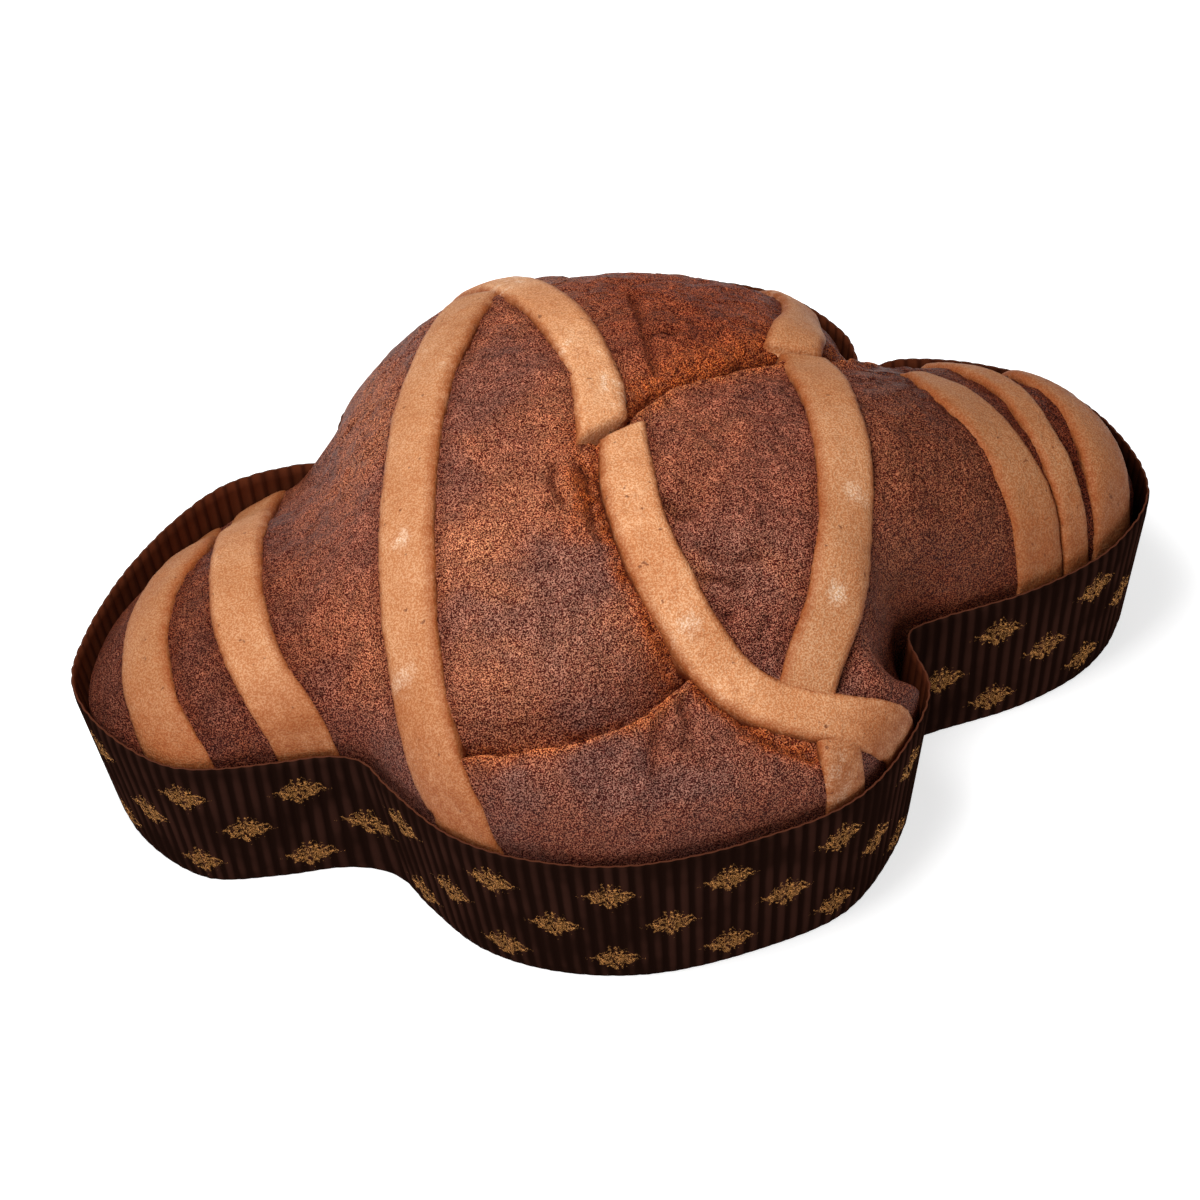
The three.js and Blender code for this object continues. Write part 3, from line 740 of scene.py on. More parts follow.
def strip_finish():
    """Pale dough: tan, orange-brown baked edges, a grain like dust, spots of flour and pin pricks, and
    painted shade on darker strips.
    """
    material, net, shader, place = new_finish("pale_dough")
    bake = marked(net, "bake")
    clouds = net.noise(place, DOUGH_CLOUDS, 3, 0.55, 0.4)
    mottle = net.noise(place, DOUGH_MOTTLE, 4, 0.65, seed=3)
    grain = net.noise(place, DOUGH_GRAIN, 1, 0.6, seed=5)
    tan = net.mix(net.ramp(clouds, 0.36, 0.64), *PALE_DOUGH)
    # Browner where a strip baked darker, and darker as painted shade on strips that get less light
    tan = net.mix(net.math("MULTIPLY", bake, 0.9), tan, BROWN_DOUGH)
    tan = net.mix(net.ramp(mottle, 0.5, 0.72, 0.0, 0.5), tan, MOTTLED_DOUGH)
    flour = net.math("MULTIPLY", net.ramp(clouds, 0.56, 0.66), net.ramp(mottle, 0.5, 0.4))
    flour = net.math("MULTIPLY", flour, net.ramp(bake, 0.6, 0.1, 0.0, 0.6))
    plan = net.vector("MULTIPLY", place, (1, 1, 0))
    for x, y, reach in FLOUR_SPOTS:
        gap = net.vector("DISTANCE", plan, (x * MM, y * MM, 0), out="Value")
        gap = net.math("MULTIPLY_ADD", mottle, FLOUR_RAGGED * reach * MM, gap)
        spot = net.ramp(gap, FLOUR_OUTER * reach * MM, FLOUR_INNER * reach * MM, 0.0, FLOUR_SHARE)
        flour = net.math("MAXIMUM", flour, spot)
    tan = net.mix(flour, tan, FLOUR)
    baked = net.math("MULTIPLY", marked(net, "edge"), net.ramp(mottle, 0.34, 0.58, 0.6, 1.0), clamp=True)
    colour = net.mix(baked, tan, BAKED_EDGE)
    prick = net.ramp(net.noise(place, DOUGH_PRICKS, 2, 0.5, seed=9), 0.67, 0.73)
    colour = net.mix(net.math("MULTIPLY", prick, 0.7), colour, PIN_PRICK)
    specks = net.grained(colour, grain, 0.86, 1.12, (1, 2.2, 3.6))
    net.tree.links.new(specks, shader.inputs["Base Color"])
    net.tree.links.new(net.ramp(mottle, 0.3, 0.7, 0.6, 0.75), shader.inputs["Roughness"])
    shader.inputs["Specular IOR Level"].default_value = 0.25
    height = net.math("MULTIPLY_ADD", mottle, 1.3, net.math("MULTIPLY", grain, 0.6))
    bump = net.add("ShaderNodeBump", {"Strength": 0.8, "Distance": 0.7 * MM, "Height": height})
    net.tree.links.new(bump, shader.inputs["Normal"])
    return material


def sprig(net, x, y):
    """A gold sprig: a lozenge with drawn-out tips and a ragged edge, filled with fine curling strokes."""
    wide = net.math("DIVIDE", net.math("ABSOLUTE", x), SPRIG_WIDE)
    tall = net.math("DIVIDE", net.math("ABSOLUTE", y), SPRIG_TALL)
    reach = net.math("ADD", net.math("POWER", wide, 0.85), net.math("POWER", tall, 0.95))
    spot = net.join_xyz(x, y, 0.0)
    edge = net.math("MULTIPLY", net.noise(spot, 0.75, 2.0, 0.6), 1.9)
    lozenge = net.ramp(net.math("SUBTRACT", edge, reach), 0.0, 0.12)
    swirl = net.noise(spot, 0.42, 2.0, 0.5, 1.2, seed=3.0)
    curls = net.math("SINE", net.math("MULTIPLY", swirl, SPRIG_CURLS))
    strokes = net.ramp(curls, 0.35, 0.85)
    return net.math("MULTIPLY", lozenge, strokes)


def sprig_rows(net, along, up):
    """The sprig repeated along the wall: a lower and an upper row, and a middle row set between them."""
    x = net.math("WRAP", along, SPRIG_STEP / 2, -SPRIG_STEP / 2)
    y = net.math("WRAP", net.math("SUBTRACT", up, SPRIG_FOOT), SPRIG_RISE / 2, -SPRIG_RISE / 2)
    between_x = net.math("WRAP", net.math("ADD", along, SPRIG_STEP / 2), SPRIG_STEP / 2, -SPRIG_STEP / 2)
    between_y = net.math("SUBTRACT", up, SPRIG_FOOT + SPRIG_RISE / 2)
    return net.math("MAXIMUM", sprig(net, x, y), sprig(net, between_x, between_y))


def paper_finish():
    """Dark brown fluted paper with a gold print outside, bare and redder inside, and a pale cut edge."""
    material, net, shader, place = new_finish("case_paper")
    along, up, side = net.split_xyz(marked(net, "wall", out="Vector"))[:3]
    fibre = net.noise(place, PAPER_FIBRE, 3, 0.6)
    cloud = net.noise(place, PAPER_CLOUDS, 2, 0.5, seed=2)
    # Painted light on the flutes: lighter on their ridges, darker in their furrows
    ridge = net.math("MULTIPLY", marked(net, "ridge"), net.ramp(cloud, 0.3, 0.7, 0.6, 1.0))
    outer = net.mix(net.ramp(ridge, 0.45, 0.98), *OUTER_PAPER)
    inner = net.mix(net.ramp(ridge, 0.2, 0.8), *INNER_PAPER)
    shade_start, shade_full = INNER_SHADE["start"] * MM, INNER_SHADE["full"] * MM
    rightward = net.ramp(net.split_xyz(place)[0], shade_start, shade_full, 1.0, INNER_SHADE["share"])
    inner = net.scaled(inner, rightward)
    jitter = net.math("MULTIPLY_ADD", fibre, PRINT_JITTER, -PRINT_JITTER / 2)
    print_shape = sprig_rows(net, net.math("ADD", along, jitter), net.math("ADD", up, jitter))
    worn = net.ramp(fibre, 0.34, 0.5)
    outside = net.math("LESS_THAN", side, 0.25)
    gold = net.math("MULTIPLY", net.math("MULTIPLY", print_shape, worn), outside)
    printed = net.mix(gold, outer, GOLD_PRINT)
    papered = net.mix(net.ramp(side, 0.3, 0.7), printed, inner)
    cut = net.math("MULTIPLY", net.ramp(side, 0.02, 0.2), net.ramp(side, 0.98, 0.8))
    colour = net.mix(cut, papered, CUT_EDGE)
    net.tree.links.new(colour, shader.inputs["Base Color"])
    net.tree.links.new(net.math("MULTIPLY", gold, 0.35), shader.inputs["Metallic"])
    net.tree.links.new(net.ramp(fibre, 0.3, 0.7, 0.55, 0.7), shader.inputs["Roughness"])
    shader.inputs["Specular IOR Level"].default_value = 0.0
    bump = net.add("ShaderNodeBump", {"Strength": 0.35, "Distance": 0.25 * MM, "Height": fibre})
    net.tree.links.new(bump, shader.inputs["Normal"])
    return material


def floor_finish():
    """A pale floor that glows a little, so that it stays white."""
    material, net, shader, place = new_finish("studio_floor")
    tone = net.mix(net.noise(place, 3, 1), (0.8, 0.8, 0.8, 1), (0.84, 0.84, 0.84, 1))
    net.tree.links.new(tone, shader.inputs["Base Color"])
    shader.inputs["Roughness"].default_value = 0.9
    shader.inputs["Specular IOR Level"].default_value = 0.1
    shader.inputs["Emission Color"].default_value = (1, 1, 1, 1)
    shader.inputs["Emission Strength"].default_value = FLOOR_GLOW
    return material


# The cake

def strip_beside(x, y):
    """How close points lie to the side of a strip."""
    near = np.zeros(np.shape(x))
    for strip in STRIPS.values():
        chain = open_curve(strip["path"], PATH_STEPS)
        gap = np.maximum(chain_distance(x, y, chain) - strip["width"] / 2, 0)
        near = np.maximum(near, np.exp(-(gap / BESIDE_REACH) ** 2))
    return near


def stray(x, y, size):
    """An uneven pattern between about minus one and one, with waves of one size."""
    return np.array([noise.noise((a / size, b / size, STRAY_LEVEL)) for a, b in zip(x, y)])


def spot_share(x, y, spot):
    """A soft round spot: one at its middle, nothing far from it."""
    return np.exp(-((x - spot["x"]) / spot["across"]) ** 2 - ((y - spot["y"]) / spot["along"]) ** 2)


def nick_gap(x, y, nick):
    """How far points lie from a nick's line."""
    return chain_distance(x, y, open_curve(nick["path"], PATH_STEPS))


def nick_depth(x, y):
    """The sharp creases at the bottom of folds, the small nicks, a torn hollow, and one blob of dough."""
    wander = CREASE_STRAY * (stray(x, y, LONG_STRAY) + SHORT_STRAY_SHARE * stray(x, y, SHORT_STRAY))
    depth = TORN_PATCH["depth"] * spot_share(x, y, TORN_PATCH) * (1 + wander)
    for fold, chain in zip(FOLDS, fold_chains):
        gap = fold_gap(x, y, chain) + wander
        depth = depth + fold["crease"] * either_side(gap, CREASE_WIDTH, CREASE_WIDTH)
    for nick in NICKS:
        gap = nick_gap(x, y, nick) + wander / NICK_STEADY
        depth = depth + nick["depth"] * np.exp(-(gap / nick["width"]) ** 2)
    return depth - DOUGH_BLOB["rise"] * spot_share(x, y, DOUGH_BLOB)


def crust_rings():
    """The cake's points in rings: its side from the floor up, and the crust up to its middle."""
    rim = even_ring(rim_curve, CAKE_COLUMNS)
    lip = crust_height(*inset(rim, EDGE_CLEAR).T)
    edge = inset(rim, EDGE_CLEAR + CASE_FLARE * np.maximum(0, CASE_HEIGHT - lip))
    base = inset(rim, EDGE_CLEAR + CASE_FLARE * (CASE_HEIGHT - CAKE_BOTTOM))
    rings = []
    for row in range(SIDE_ROWS + 1):
        share = row / SIDE_ROWS
        plan = base + (edge - base) * share
        rings.append(np.column_stack([plan, CAKE_BOTTOM + (lip - CAKE_BOTTOM) * share]))
    middle = np.array(CAKE_MIDDLE)
    for ring in range(1, CAKE_RINGS):
        plan = middle + (edge - middle) * (1 - (ring / CAKE_RINGS) ** RING_EASE)
        rings.append(np.column_stack([plan, crust_height(*plan.T) - nick_depth(*plan.T)]))
    return rings


def crust_faces(rows):
    """The faces between the cake's rings, and fans round the middles of its floor and its top."""
    n = CAKE_COLUMNS
    i = np.arange(n)
    j = (i + 1) % n
    faces = []
    for row in range(rows - 1):
        low, high = row * n, (row + 1) * n
        faces += np.column_stack([low + i, low + j, high + j, high + i]).tolist()
    top = (rows - 1) * n
    floor_middle, top_middle = rows * n, rows * n + 1
    faces += np.column_stack([np.full(n, floor_middle), j, i]).tolist()
    faces += np.column_stack([np.full(n, top_middle), top + i, top + j]).tolist()
    return faces


def mark_tones(mesh, x, y):
    """Marks how pale and how purple the crust baked, and how dark it is from its baking and from painted
    shade.
    """
    heights = np.stack([dome_height(x, y, dome) for dome in DOMES.values()])
    weights = np.exp((heights - heights.max(axis=0)) / PALE_BLEND)
    weights /= weights.sum(axis=0)
    tones = {}
    for tone in ("pale", "cool", "dark_bake_and_shade"):
        tones[tone] = np.array([dome[tone] for dome in DOMES.values()]) @ weights
    # Painted shade: the crust is darkened towards the right
    rightward = np.clip((x - SHADED_SIDE["start"]) / (SHADED_SIDE["full"] - SHADED_SIDE["start"]), 0, 1)
    tones["dark_bake_and_shade"] = np.maximum(tones["dark_bake_and_shade"], SHADED_SIDE["share"] * rightward)
    # Painted sheen: spots where the crust is shifted paler and cooler, one of them less pale
    for spot in SHEEN_SPOTS:
        sheen = spot_share(x, y, spot)
        tones["pale"] = tones["pale"] + spot["pale"] * sheen
        tones["cool"] = tones["cool"] + spot["cool"] * sheen
    for tone, values in tones.items():
        mark(mesh, tone, values)


def mark_tears(mesh, x, y):
    """Marks glowing torn dough, lips with a painted highlight, dark cracks of painted shade, and scorched
    crust with painted shade.
    """
    wander = CREASE_STRAY * stray(x, y, LONG_STRAY)
    wall = np.maximum(wall_distance(x, y) - RIM_SCORCH_AND_SHADE["start"], 0)
    patch = spot_share(x, y, TORN_PATCH)
    glow = [patch, spot_share(x, y, DOUGH_BLOB), TORN_TIP["share"] * spot_share(x, y, TORN_TIP)]
    lips = []
    cracks = []
    # Scorching and painted shade along the rim and in the hollow, and painted shade beside the strips
    scorch_and_shade = [
        RIM_SCORCH_AND_SHADE["share"] * np.exp(-(wall / RIM_SCORCH_AND_SHADE["reach"]) ** 2),
        SHADE_BESIDE_STRIPS * strip_beside(x, y),
        HOLLOW_SCORCH_AND_SHADE * hollow_share(x, y),
    ]
    for fold, chain in zip(FOLDS, fold_chains):
        gap = fold_gap(x, y, chain) + wander
        glow.append(either_side(gap, fold["glow_left"], fold["glow_right"]))
        # A painted highlight along each fold's torn lip
        lips.append(fold["highlight"] * np.exp(-((gap + LIP_AT) / LIP_WIDTH) ** 2))
        cracks.append(fold["crack_shade"] * either_side(gap, CRACK_WIDTH, CRACK_WIDTH / 2))
        # Scorching and painted shade along each fold's crease
        scorch_and_shade.append(CREASE_SCORCH_AND_SHADE * either_side(gap, fold["shade"], CREASE_WIDTH / 2))
        # Painted shade on the dim left side of a fold
        scorch_and_shade.append(fold["dim"] * either_side(gap, DIM_LEFT, DIM_RIGHT))
    for nick in NICKS:
        gap = nick_gap(x, y, nick) / nick["width"]
        cracks.append(nick["crack_shade"] * np.exp(-(gap / NICK_CRACK) ** 2))
        scorch_and_shade.append(NICK_SCORCH_AND_SHADE * np.exp(-gap ** 2))
    for name, shares in (("glow", glow), ("lip", lips), ("crack_shade", cracks), ("scorch_and_shade", scorch_and_shade)):
        mark(mesh, name, np.maximum.reduce(shares))
    mark(mesh, "torn", patch)


def crust_seed():
    """The cake before its relief, with the marks that its relief and its finish read."""
    rings = crust_rings()
    middle = np.array(CAKE_MIDDLE)
    peak = float(crust_height(*middle))
    points = np.concatenate([*rings, [[*middle, CAKE_BOTTOM]], [[*middle, peak]]])
    mesh = new_mesh("crust_seed", points, crust_faces(len(rings)))
    x, y = points[:, 0], points[:, 1]
    mark_tones(mesh, x, y)
    mark_tears(mesh, x, y)
    mark(mesh, "free", np.clip((wall_distance(x, y) - RELIEF_START) / RELIEF_RUN, 0, 1))
    mark(mesh, "facing", outward(crust_height, x, y))
    return mesh


def crust_tree(finish):
    """Lumps, dents and wrinkles on the crust, none beside the wall."""
    tree, net, given = new_tree("crust_relief", {
        "Lump Height": "Float", "Lump Size": "Float", "Dent Depth": "Float", "Dent Size": "Float",
        "Wrinkle Height": "Float", "Wrinkle Size": "Float", "Seed": "Float",
    })
    place = net.add("GeometryNodeInputPosition")

    def pattern(size, seed, detail, distortion):
        return net.noise(place, net.math("DIVIDE", 1.0, given[size]), detail, 0.5, distortion,
                         net.math("ADD", given["Seed"], seed))

    lump = net.math("SUBTRACT", pattern("Lump Size", 0.0, 1.0, 0.0), 0.5)
    dent = net.math("SUBTRACT", pattern("Dent Size", 3.0, 2.0, 0.4), 0.5)
    crease = net.math("ABSOLUTE", net.math("SUBTRACT", pattern("Wrinkle Size", 6.0, 2.0, 0.8), 0.5))
    wrinkle = net.ramp(crease, 0.0, 0.09, -1.0, 0.0)
    rise = net.math("MULTIPLY", lump, net.math("MULTIPLY", given["Lump Height"], 2.0))
    rise = net.math("MULTIPLY_ADD", dent, net.math("MULTIPLY", given["Dent Depth"], 2.0), rise)
    rise = net.math("MULTIPLY_ADD", wrinkle, given["Wrinkle Height"], rise)
    free = net.add("GeometryNodeInputNamedAttribute", {"Name": "free"}, data_type="FLOAT")
    facing = net.add("GeometryNodeInputNamedAttribute", {"Name": "facing"}, data_type="FLOAT_VECTOR")
    offset = net.scaled(facing, net.math("MULTIPLY", rise, free))
    shape = net.add("GeometryNodeSetPosition", {"Geometry": given["Geometry"], "Offset": offset})
    close_tree(net, shape, finish)
    return tree


def make_cake(finish):
    """The cake with the relief of its crust."""
    return grow("cake_crust", crust_seed(), crust_tree(finish), {
        "Lump Height": 2.2 * MM, "Lump Size": 42 * MM, "Dent Depth": 1.7 * MM, "Dent Size": 13 * MM,
        "Wrinkle Height": 0.5 * MM, "Wrinkle Size": 9 * MM, "Seed": 11.0,
    })


# The dough strips

def bed_mesh():
    """The ground that the strips lie on, marked with its outward way, the wall's place and its folds."""
    low = rim_curve.min(axis=0) - BED_MARGIN
    high = rim_curve.max(axis=0) + BED_MARGIN
    across, along = (np.arange(low[k], high[k], BED_STEP) for k in (0, 1))
    x, y = (grid.ravel() for grid in np.meshgrid(across, along))
    n = len(across)
    corner = (np.arange(len(along) - 1)[:, None] * n + np.arange(n - 1)).ravel()
    faces = np.column_stack([corner, corner + 1, corner + n + 1, corner + n]).tolist()
    mesh = new_mesh("strip_bed", np.column_stack([x, y, bed_height(x, y)]), faces)
    inwards = np.column_stack([*slopes(wall_distance, x, y), np.zeros(len(x))])
    mark(mesh, "facing", outward(bed_height, x, y))
    mark(mesh, "inwards", inwards / np.maximum(np.linalg.norm(inwards, axis=1, keepdims=True), 1e-6))
    wall_fold = np.column_stack([wall_distance(x, y), np.maximum(fold_depth(x, y), 0), np.zeros(len(x))])
    mark(mesh, "wall_fold", wall_fold * MM)
    return mesh


def strip_line(path):
    """A strip's middle line in plan, led on straight past both ends."""
    plan = open_curve(path, STRIP_FINE)
    first, last = plan[0] - plan[1], plan[-1] - plan[-2]
    before = plan[0] + first * STRIP_LEAD / np.hypot(*first)
    after = plan[-1] + last * STRIP_LEAD / np.hypot(*last)
    return np.concatenate([[before], plan, [after]])


def strip_ends(strip):
    """Where a strip starts and ends along its line, and how far its two sides lead or lag there."""
    plan = strip_line(strip["path"])
    length = np.concatenate([[0], np.cumsum(np.hypot(*np.diff(plan, axis=0).T))])
    along = np.gradient(plan, axis=0)
    facing = outward(bed_height, *plan.T)
    slope = -(facing[:, :2] * along).sum(axis=1) / facing[:, 2]
    side = np.cross(np.column_stack([along, slope]), facing)
    side /= np.linalg.norm(side, axis=1, keepdims=True)
    middle = len(plan) // 2
    reaches = []
    for share in (-1, 0, 1):
        line = plan + side[:, :2] * share * strip["width"] / 2
        fits = wall_distance(*line.T) > STRIP_CLEAR
        fits[[0, -1]] = False
        low = middle - np.argmin(fits[middle::-1]) + 1
        high = middle + np.argmin(fits[middle:]) - 1
        reaches.append((length[low], length[high]))
    left, centre, right = reaches
    start_slant = strip.get("start_slant", (right[0] - left[0]) / 2)
    end_slant = (right[1] - left[1]) / 2
    return centre[0], centre[1], start_slant, end_slant


def strip_tree(bed, finish):
    """A band with rounded edges, laid along a line in plan on its bed and pressed against the wall."""
    tree, net, given = new_tree("dough_strip", {
        "Width": "Float", "Thickness": "Float", "Sink": "Float", "Start": "Float", "End": "Float",
        "Start Slant": "Float", "End Slant": "Float", "Start Tuck": "Float", "End Tuck": "Float",
        "Start Width": "Float", "Start Bow": "Float", "Ragged": "Float", "Wobble": "Float", "Fray": "Float",
        "Wall Room": "Float", "Bake": "Float", "Steps": "Int", "Round": "Int", "Seed": "Float",
    })
    path = net.add("GeometryNodeMeshToCurve", {0: given["Geometry"]})
    tube = net.add(
        "GeometryNodeMeshCylinder",
        {"Vertices": given["Round"], "Side Segments": given["Steps"], "Radius": 1.0, "Depth": 1.0},
        fill_type="TRIANGLE_FAN",
    )
    ground = net.add("GeometryNodeObjectInfo", {"Object": bed}, out="Geometry")
    share, height, level = net.split_xyz(net.add("GeometryNodeInputPosition"))[:3]
    level = net.math("ADD", level, 0.5)

    def below(point, name, out="Attribute"):
        """What the bed says below a point."""
        above = net.vector("MULTIPLY_ADD", point, (1, 1, 0), (0, 0, LOOK_FROM))
        said = net.add("GeometryNodeInputNamedAttribute", {"Name": name}, data_type="FLOAT_VECTOR")
        return net.add(
            "GeometryNodeRaycast",
            {"Target Geometry": ground, "Attribute": said, "Source Position": above,
             "Ray Direction": (0, 0, -1), "Ray Length": LOOK_DOWN},
            out=out, data_type="FLOAT_VECTOR",
        )

    far_end = net.math("GREATER_THAN", level, 0.5)
    tear = net.noise(net.join_xyz(share, given["Seed"], far_end), TEAR_WAVES, 3.0)
    tear = net.math("MULTIPLY", net.math("SUBTRACT", tear, 0.5), net.math("MULTIPLY", given["Ragged"], 2.0))
    rounding = net.math("MULTIPLY_ADD", net.math("MULTIPLY", share, share), -1.0, 1.0)
    bow = net.math("MULTIPLY", given["Start Bow"], rounding)
    start = net.math("SUBTRACT", net.math("ADD", given["Start"], tear), bow)
    start = net.math("MULTIPLY_ADD", given["Start Slant"], share, start)
    end = net.math("MULTIPLY_ADD", given["End Slant"], share, net.math("ADD", given["End"], tear))
    reach = net.math("MULTIPLY_ADD", net.math("SUBTRACT", end, start), level, start)
    line = net.add("GeometryNodeSampleCurve", {"Curves": path, "Length": reach}, out=None, mode="LENGTH")
    middle, along = line.outputs["Position"], line.outputs["Tangent"]
    facing = net.vector("NORMALIZE", below(middle, "facing"))
    tilt = net.vector("DOT_PRODUCT", facing, along, out="Value")
    fall = net.math("DIVIDE", tilt, net.split_xyz(facing)[2])
    along = net.vector("SUBTRACT", along, net.join_xyz(0.0, 0.0, fall))
    side = net.vector("NORMALIZE", net.vector("CROSS_PRODUCT", along, facing))
    sway_place = net.join_xyz(reach, net.math("MULTIPLY", share, SWAY_ACROSS * MM), given["Seed"])
    sway = net.noise(sway_place, SWAY_WAVES, 3.0)
    half = net.math("MULTIPLY_ADD", net.math("SUBTRACT", sway, 0.5), given["Wobble"], 0.5)
    half = net.math("MULTIPLY", given["Width"], half)
    fray = net.noise(net.join_xyz(reach, net.math("SIGN", share), given["Seed"]), FRAY_WAVES, 2.0, seed=8.0)
    half = net.math("MULTIPLY_ADD", net.math("SUBTRACT", fray, 0.5), given["Fray"], half)
    widened = net.ramp(net.math("SUBTRACT", reach, start), 0.0, START_RUN * MM)
    narrowed = net.math("SUBTRACT", 1.0, given["Start Width"])
    widened = net.math("MULTIPLY_ADD", narrowed, widened, given["Start Width"])
    half = net.math("MULTIPLY", half, widened)
    spot = net.vector("ADD", middle, net.scaled(side, net.math("MULTIPLY", half, share)))
    foot = below(spot, "facing", out="Hit Position")
    up = net.vector("NORMALIZE", below(spot, "facing"))
    inwards = below(spot, "inwards")
    wall_gap, fold = net.split_xyz(below(spot, "wall_fold"))[:2]
    flank = net.math("POWER", net.math("ABSOLUTE", share), STRIP_FLANK)
    crown = net.math("POWER", net.math("SUBTRACT", 1.0, flank, clamp=True), 0.5)
    swell_place = net.join_xyz(reach, net.math("MULTIPLY", share, SWELL_ACROSS * MM), given["Seed"])
    swell = net.noise(swell_place, SWELL_WAVES, 3.0, seed=5.0)
    swell = net.math("MULTIPLY_ADD", swell, SWELL_GAIN, SWELL_LEAST)
    thick = net.math("MULTIPLY", given["Thickness"], swell)
    begun = net.ramp(net.math("DIVIDE", net.math("SUBTRACT", reach, start), given["Start Tuck"]), 0.0, 1.0)
    ended = net.ramp(net.math("DIVIDE", net.math("SUBTRACT", end, reach), given["End Tuck"]), 0.0, 1.0)
    thick = net.math("MULTIPLY", thick, net.math("MULTIPLY", begun, ended))
    near_wall = net.ramp(wall_gap, 0.0, WALL_THIN["run"] * MM, WALL_THIN["least"], 1.0)
    thick = net.math("MULTIPLY", thick, near_wall)
    is_top = net.math("GREATER_THAN", height, 1e-4)
    sunk = net.math("MULTIPLY", net.math("ADD", given["Sink"], fold), net.math("SUBTRACT", is_top, 1.0))
    lift = net.math("MULTIPLY_ADD", is_top, net.math("MULTIPLY", thick, crown), sunk)
    raised = net.scaled(up, lift)
    spot = net.vector("ADD", foot, raised)
    gap = net.math("ADD", wall_gap, net.vector("DOT_PRODUCT", raised, inwards, out="Value"))
    depth = net.math("SUBTRACT", CASE_HEIGHT * MM, net.split_xyz(spot)[2])
    room = net.math("MULTIPLY_ADD", net.math("MAXIMUM", depth, 0.0), CASE_FLARE, given["Wall Room"])
    under_rim = net.ramp(depth, -RIM_OVERLAP * MM, 0.0)
    push = net.math("MULTIPLY", net.math("MAXIMUM", net.math("SUBTRACT", room, gap), 0.0), under_rim)
    spot = net.vector("ADD", spot, net.scaled(inwards, push))
    rimward = net.ramp(wall_gap, RIM_BROWN["start"] * MM, RIM_BROWN["full"] * MM, 0.0, RIM_BROWN["share"])
    edge = net.math("MAXIMUM", net.ramp(share, BROWN_RIGHT, 1.0), net.ramp(share, BROWN_LEFT, -1.0))
    shape = store(net, tube, "edge", net.math("MAXIMUM", edge, rimward))
    # How dark a strip is, from its bake and from painted shade
    shape = store(net, shape, "bake", given["Bake"])
    close_tree(net, net.add("GeometryNodeSetPosition", {"Geometry": shape, "Position": spot}), finish)
    return tree


def make_strips(finish):
    """Every strip, each on its own line."""
    bed = bpy.data.objects.new("strip_bed", bed_mesh())
    bpy.context.scene.collection.objects.link(bed)
    tree = strip_tree(bed, finish)
    strips = {}
    for number, (name, strip) in enumerate(STRIPS.items()):
        plan = strip_line(strip["path"])
        start, end, start_slant, end_slant = strip_ends(strip)
        edges = [(i, i + 1) for i in range(len(plan) - 1)]
        line = new_mesh(name + "_line", np.column_stack([plan, np.zeros(len(plan))]), [], edges)
        steps = max(STRIP_LEAST_STEPS, round((end - start) / STRIP_STEP))
        strips[name] = grow(name + "_dough", line, tree, {
            "Width": strip["width"] * MM, "Thickness": STRIP_THICK * MM, "Sink": STRIP_SINK * MM,
            "Start": start * MM, "Start Slant": start_slant * MM,
            "Start Tuck": strip.get("start_tuck", END_ROUND) * MM,
            "Start Width": strip.get("start_width", 1.0), "Start Bow": strip.get("start_bow", 0.0) * MM,
            "End": end * MM, "End Slant": end_slant * MM,
            "End Tuck": strip.get("end_tuck", END_ROUND) * MM,
            "Ragged": STRIP_RAGGED * MM, "Wobble": STRIP_WOBBLE, "Fray": STRIP_FRAY * MM,
            "Wall Room": WALL_ROOM * MM, "Bake": strip["bake"],
            "Steps": steps, "Round": STRIP_ROUND, "Seed": float(number),
        })
    bpy.data.objects.remove(bed)
    return strips


# The paper case

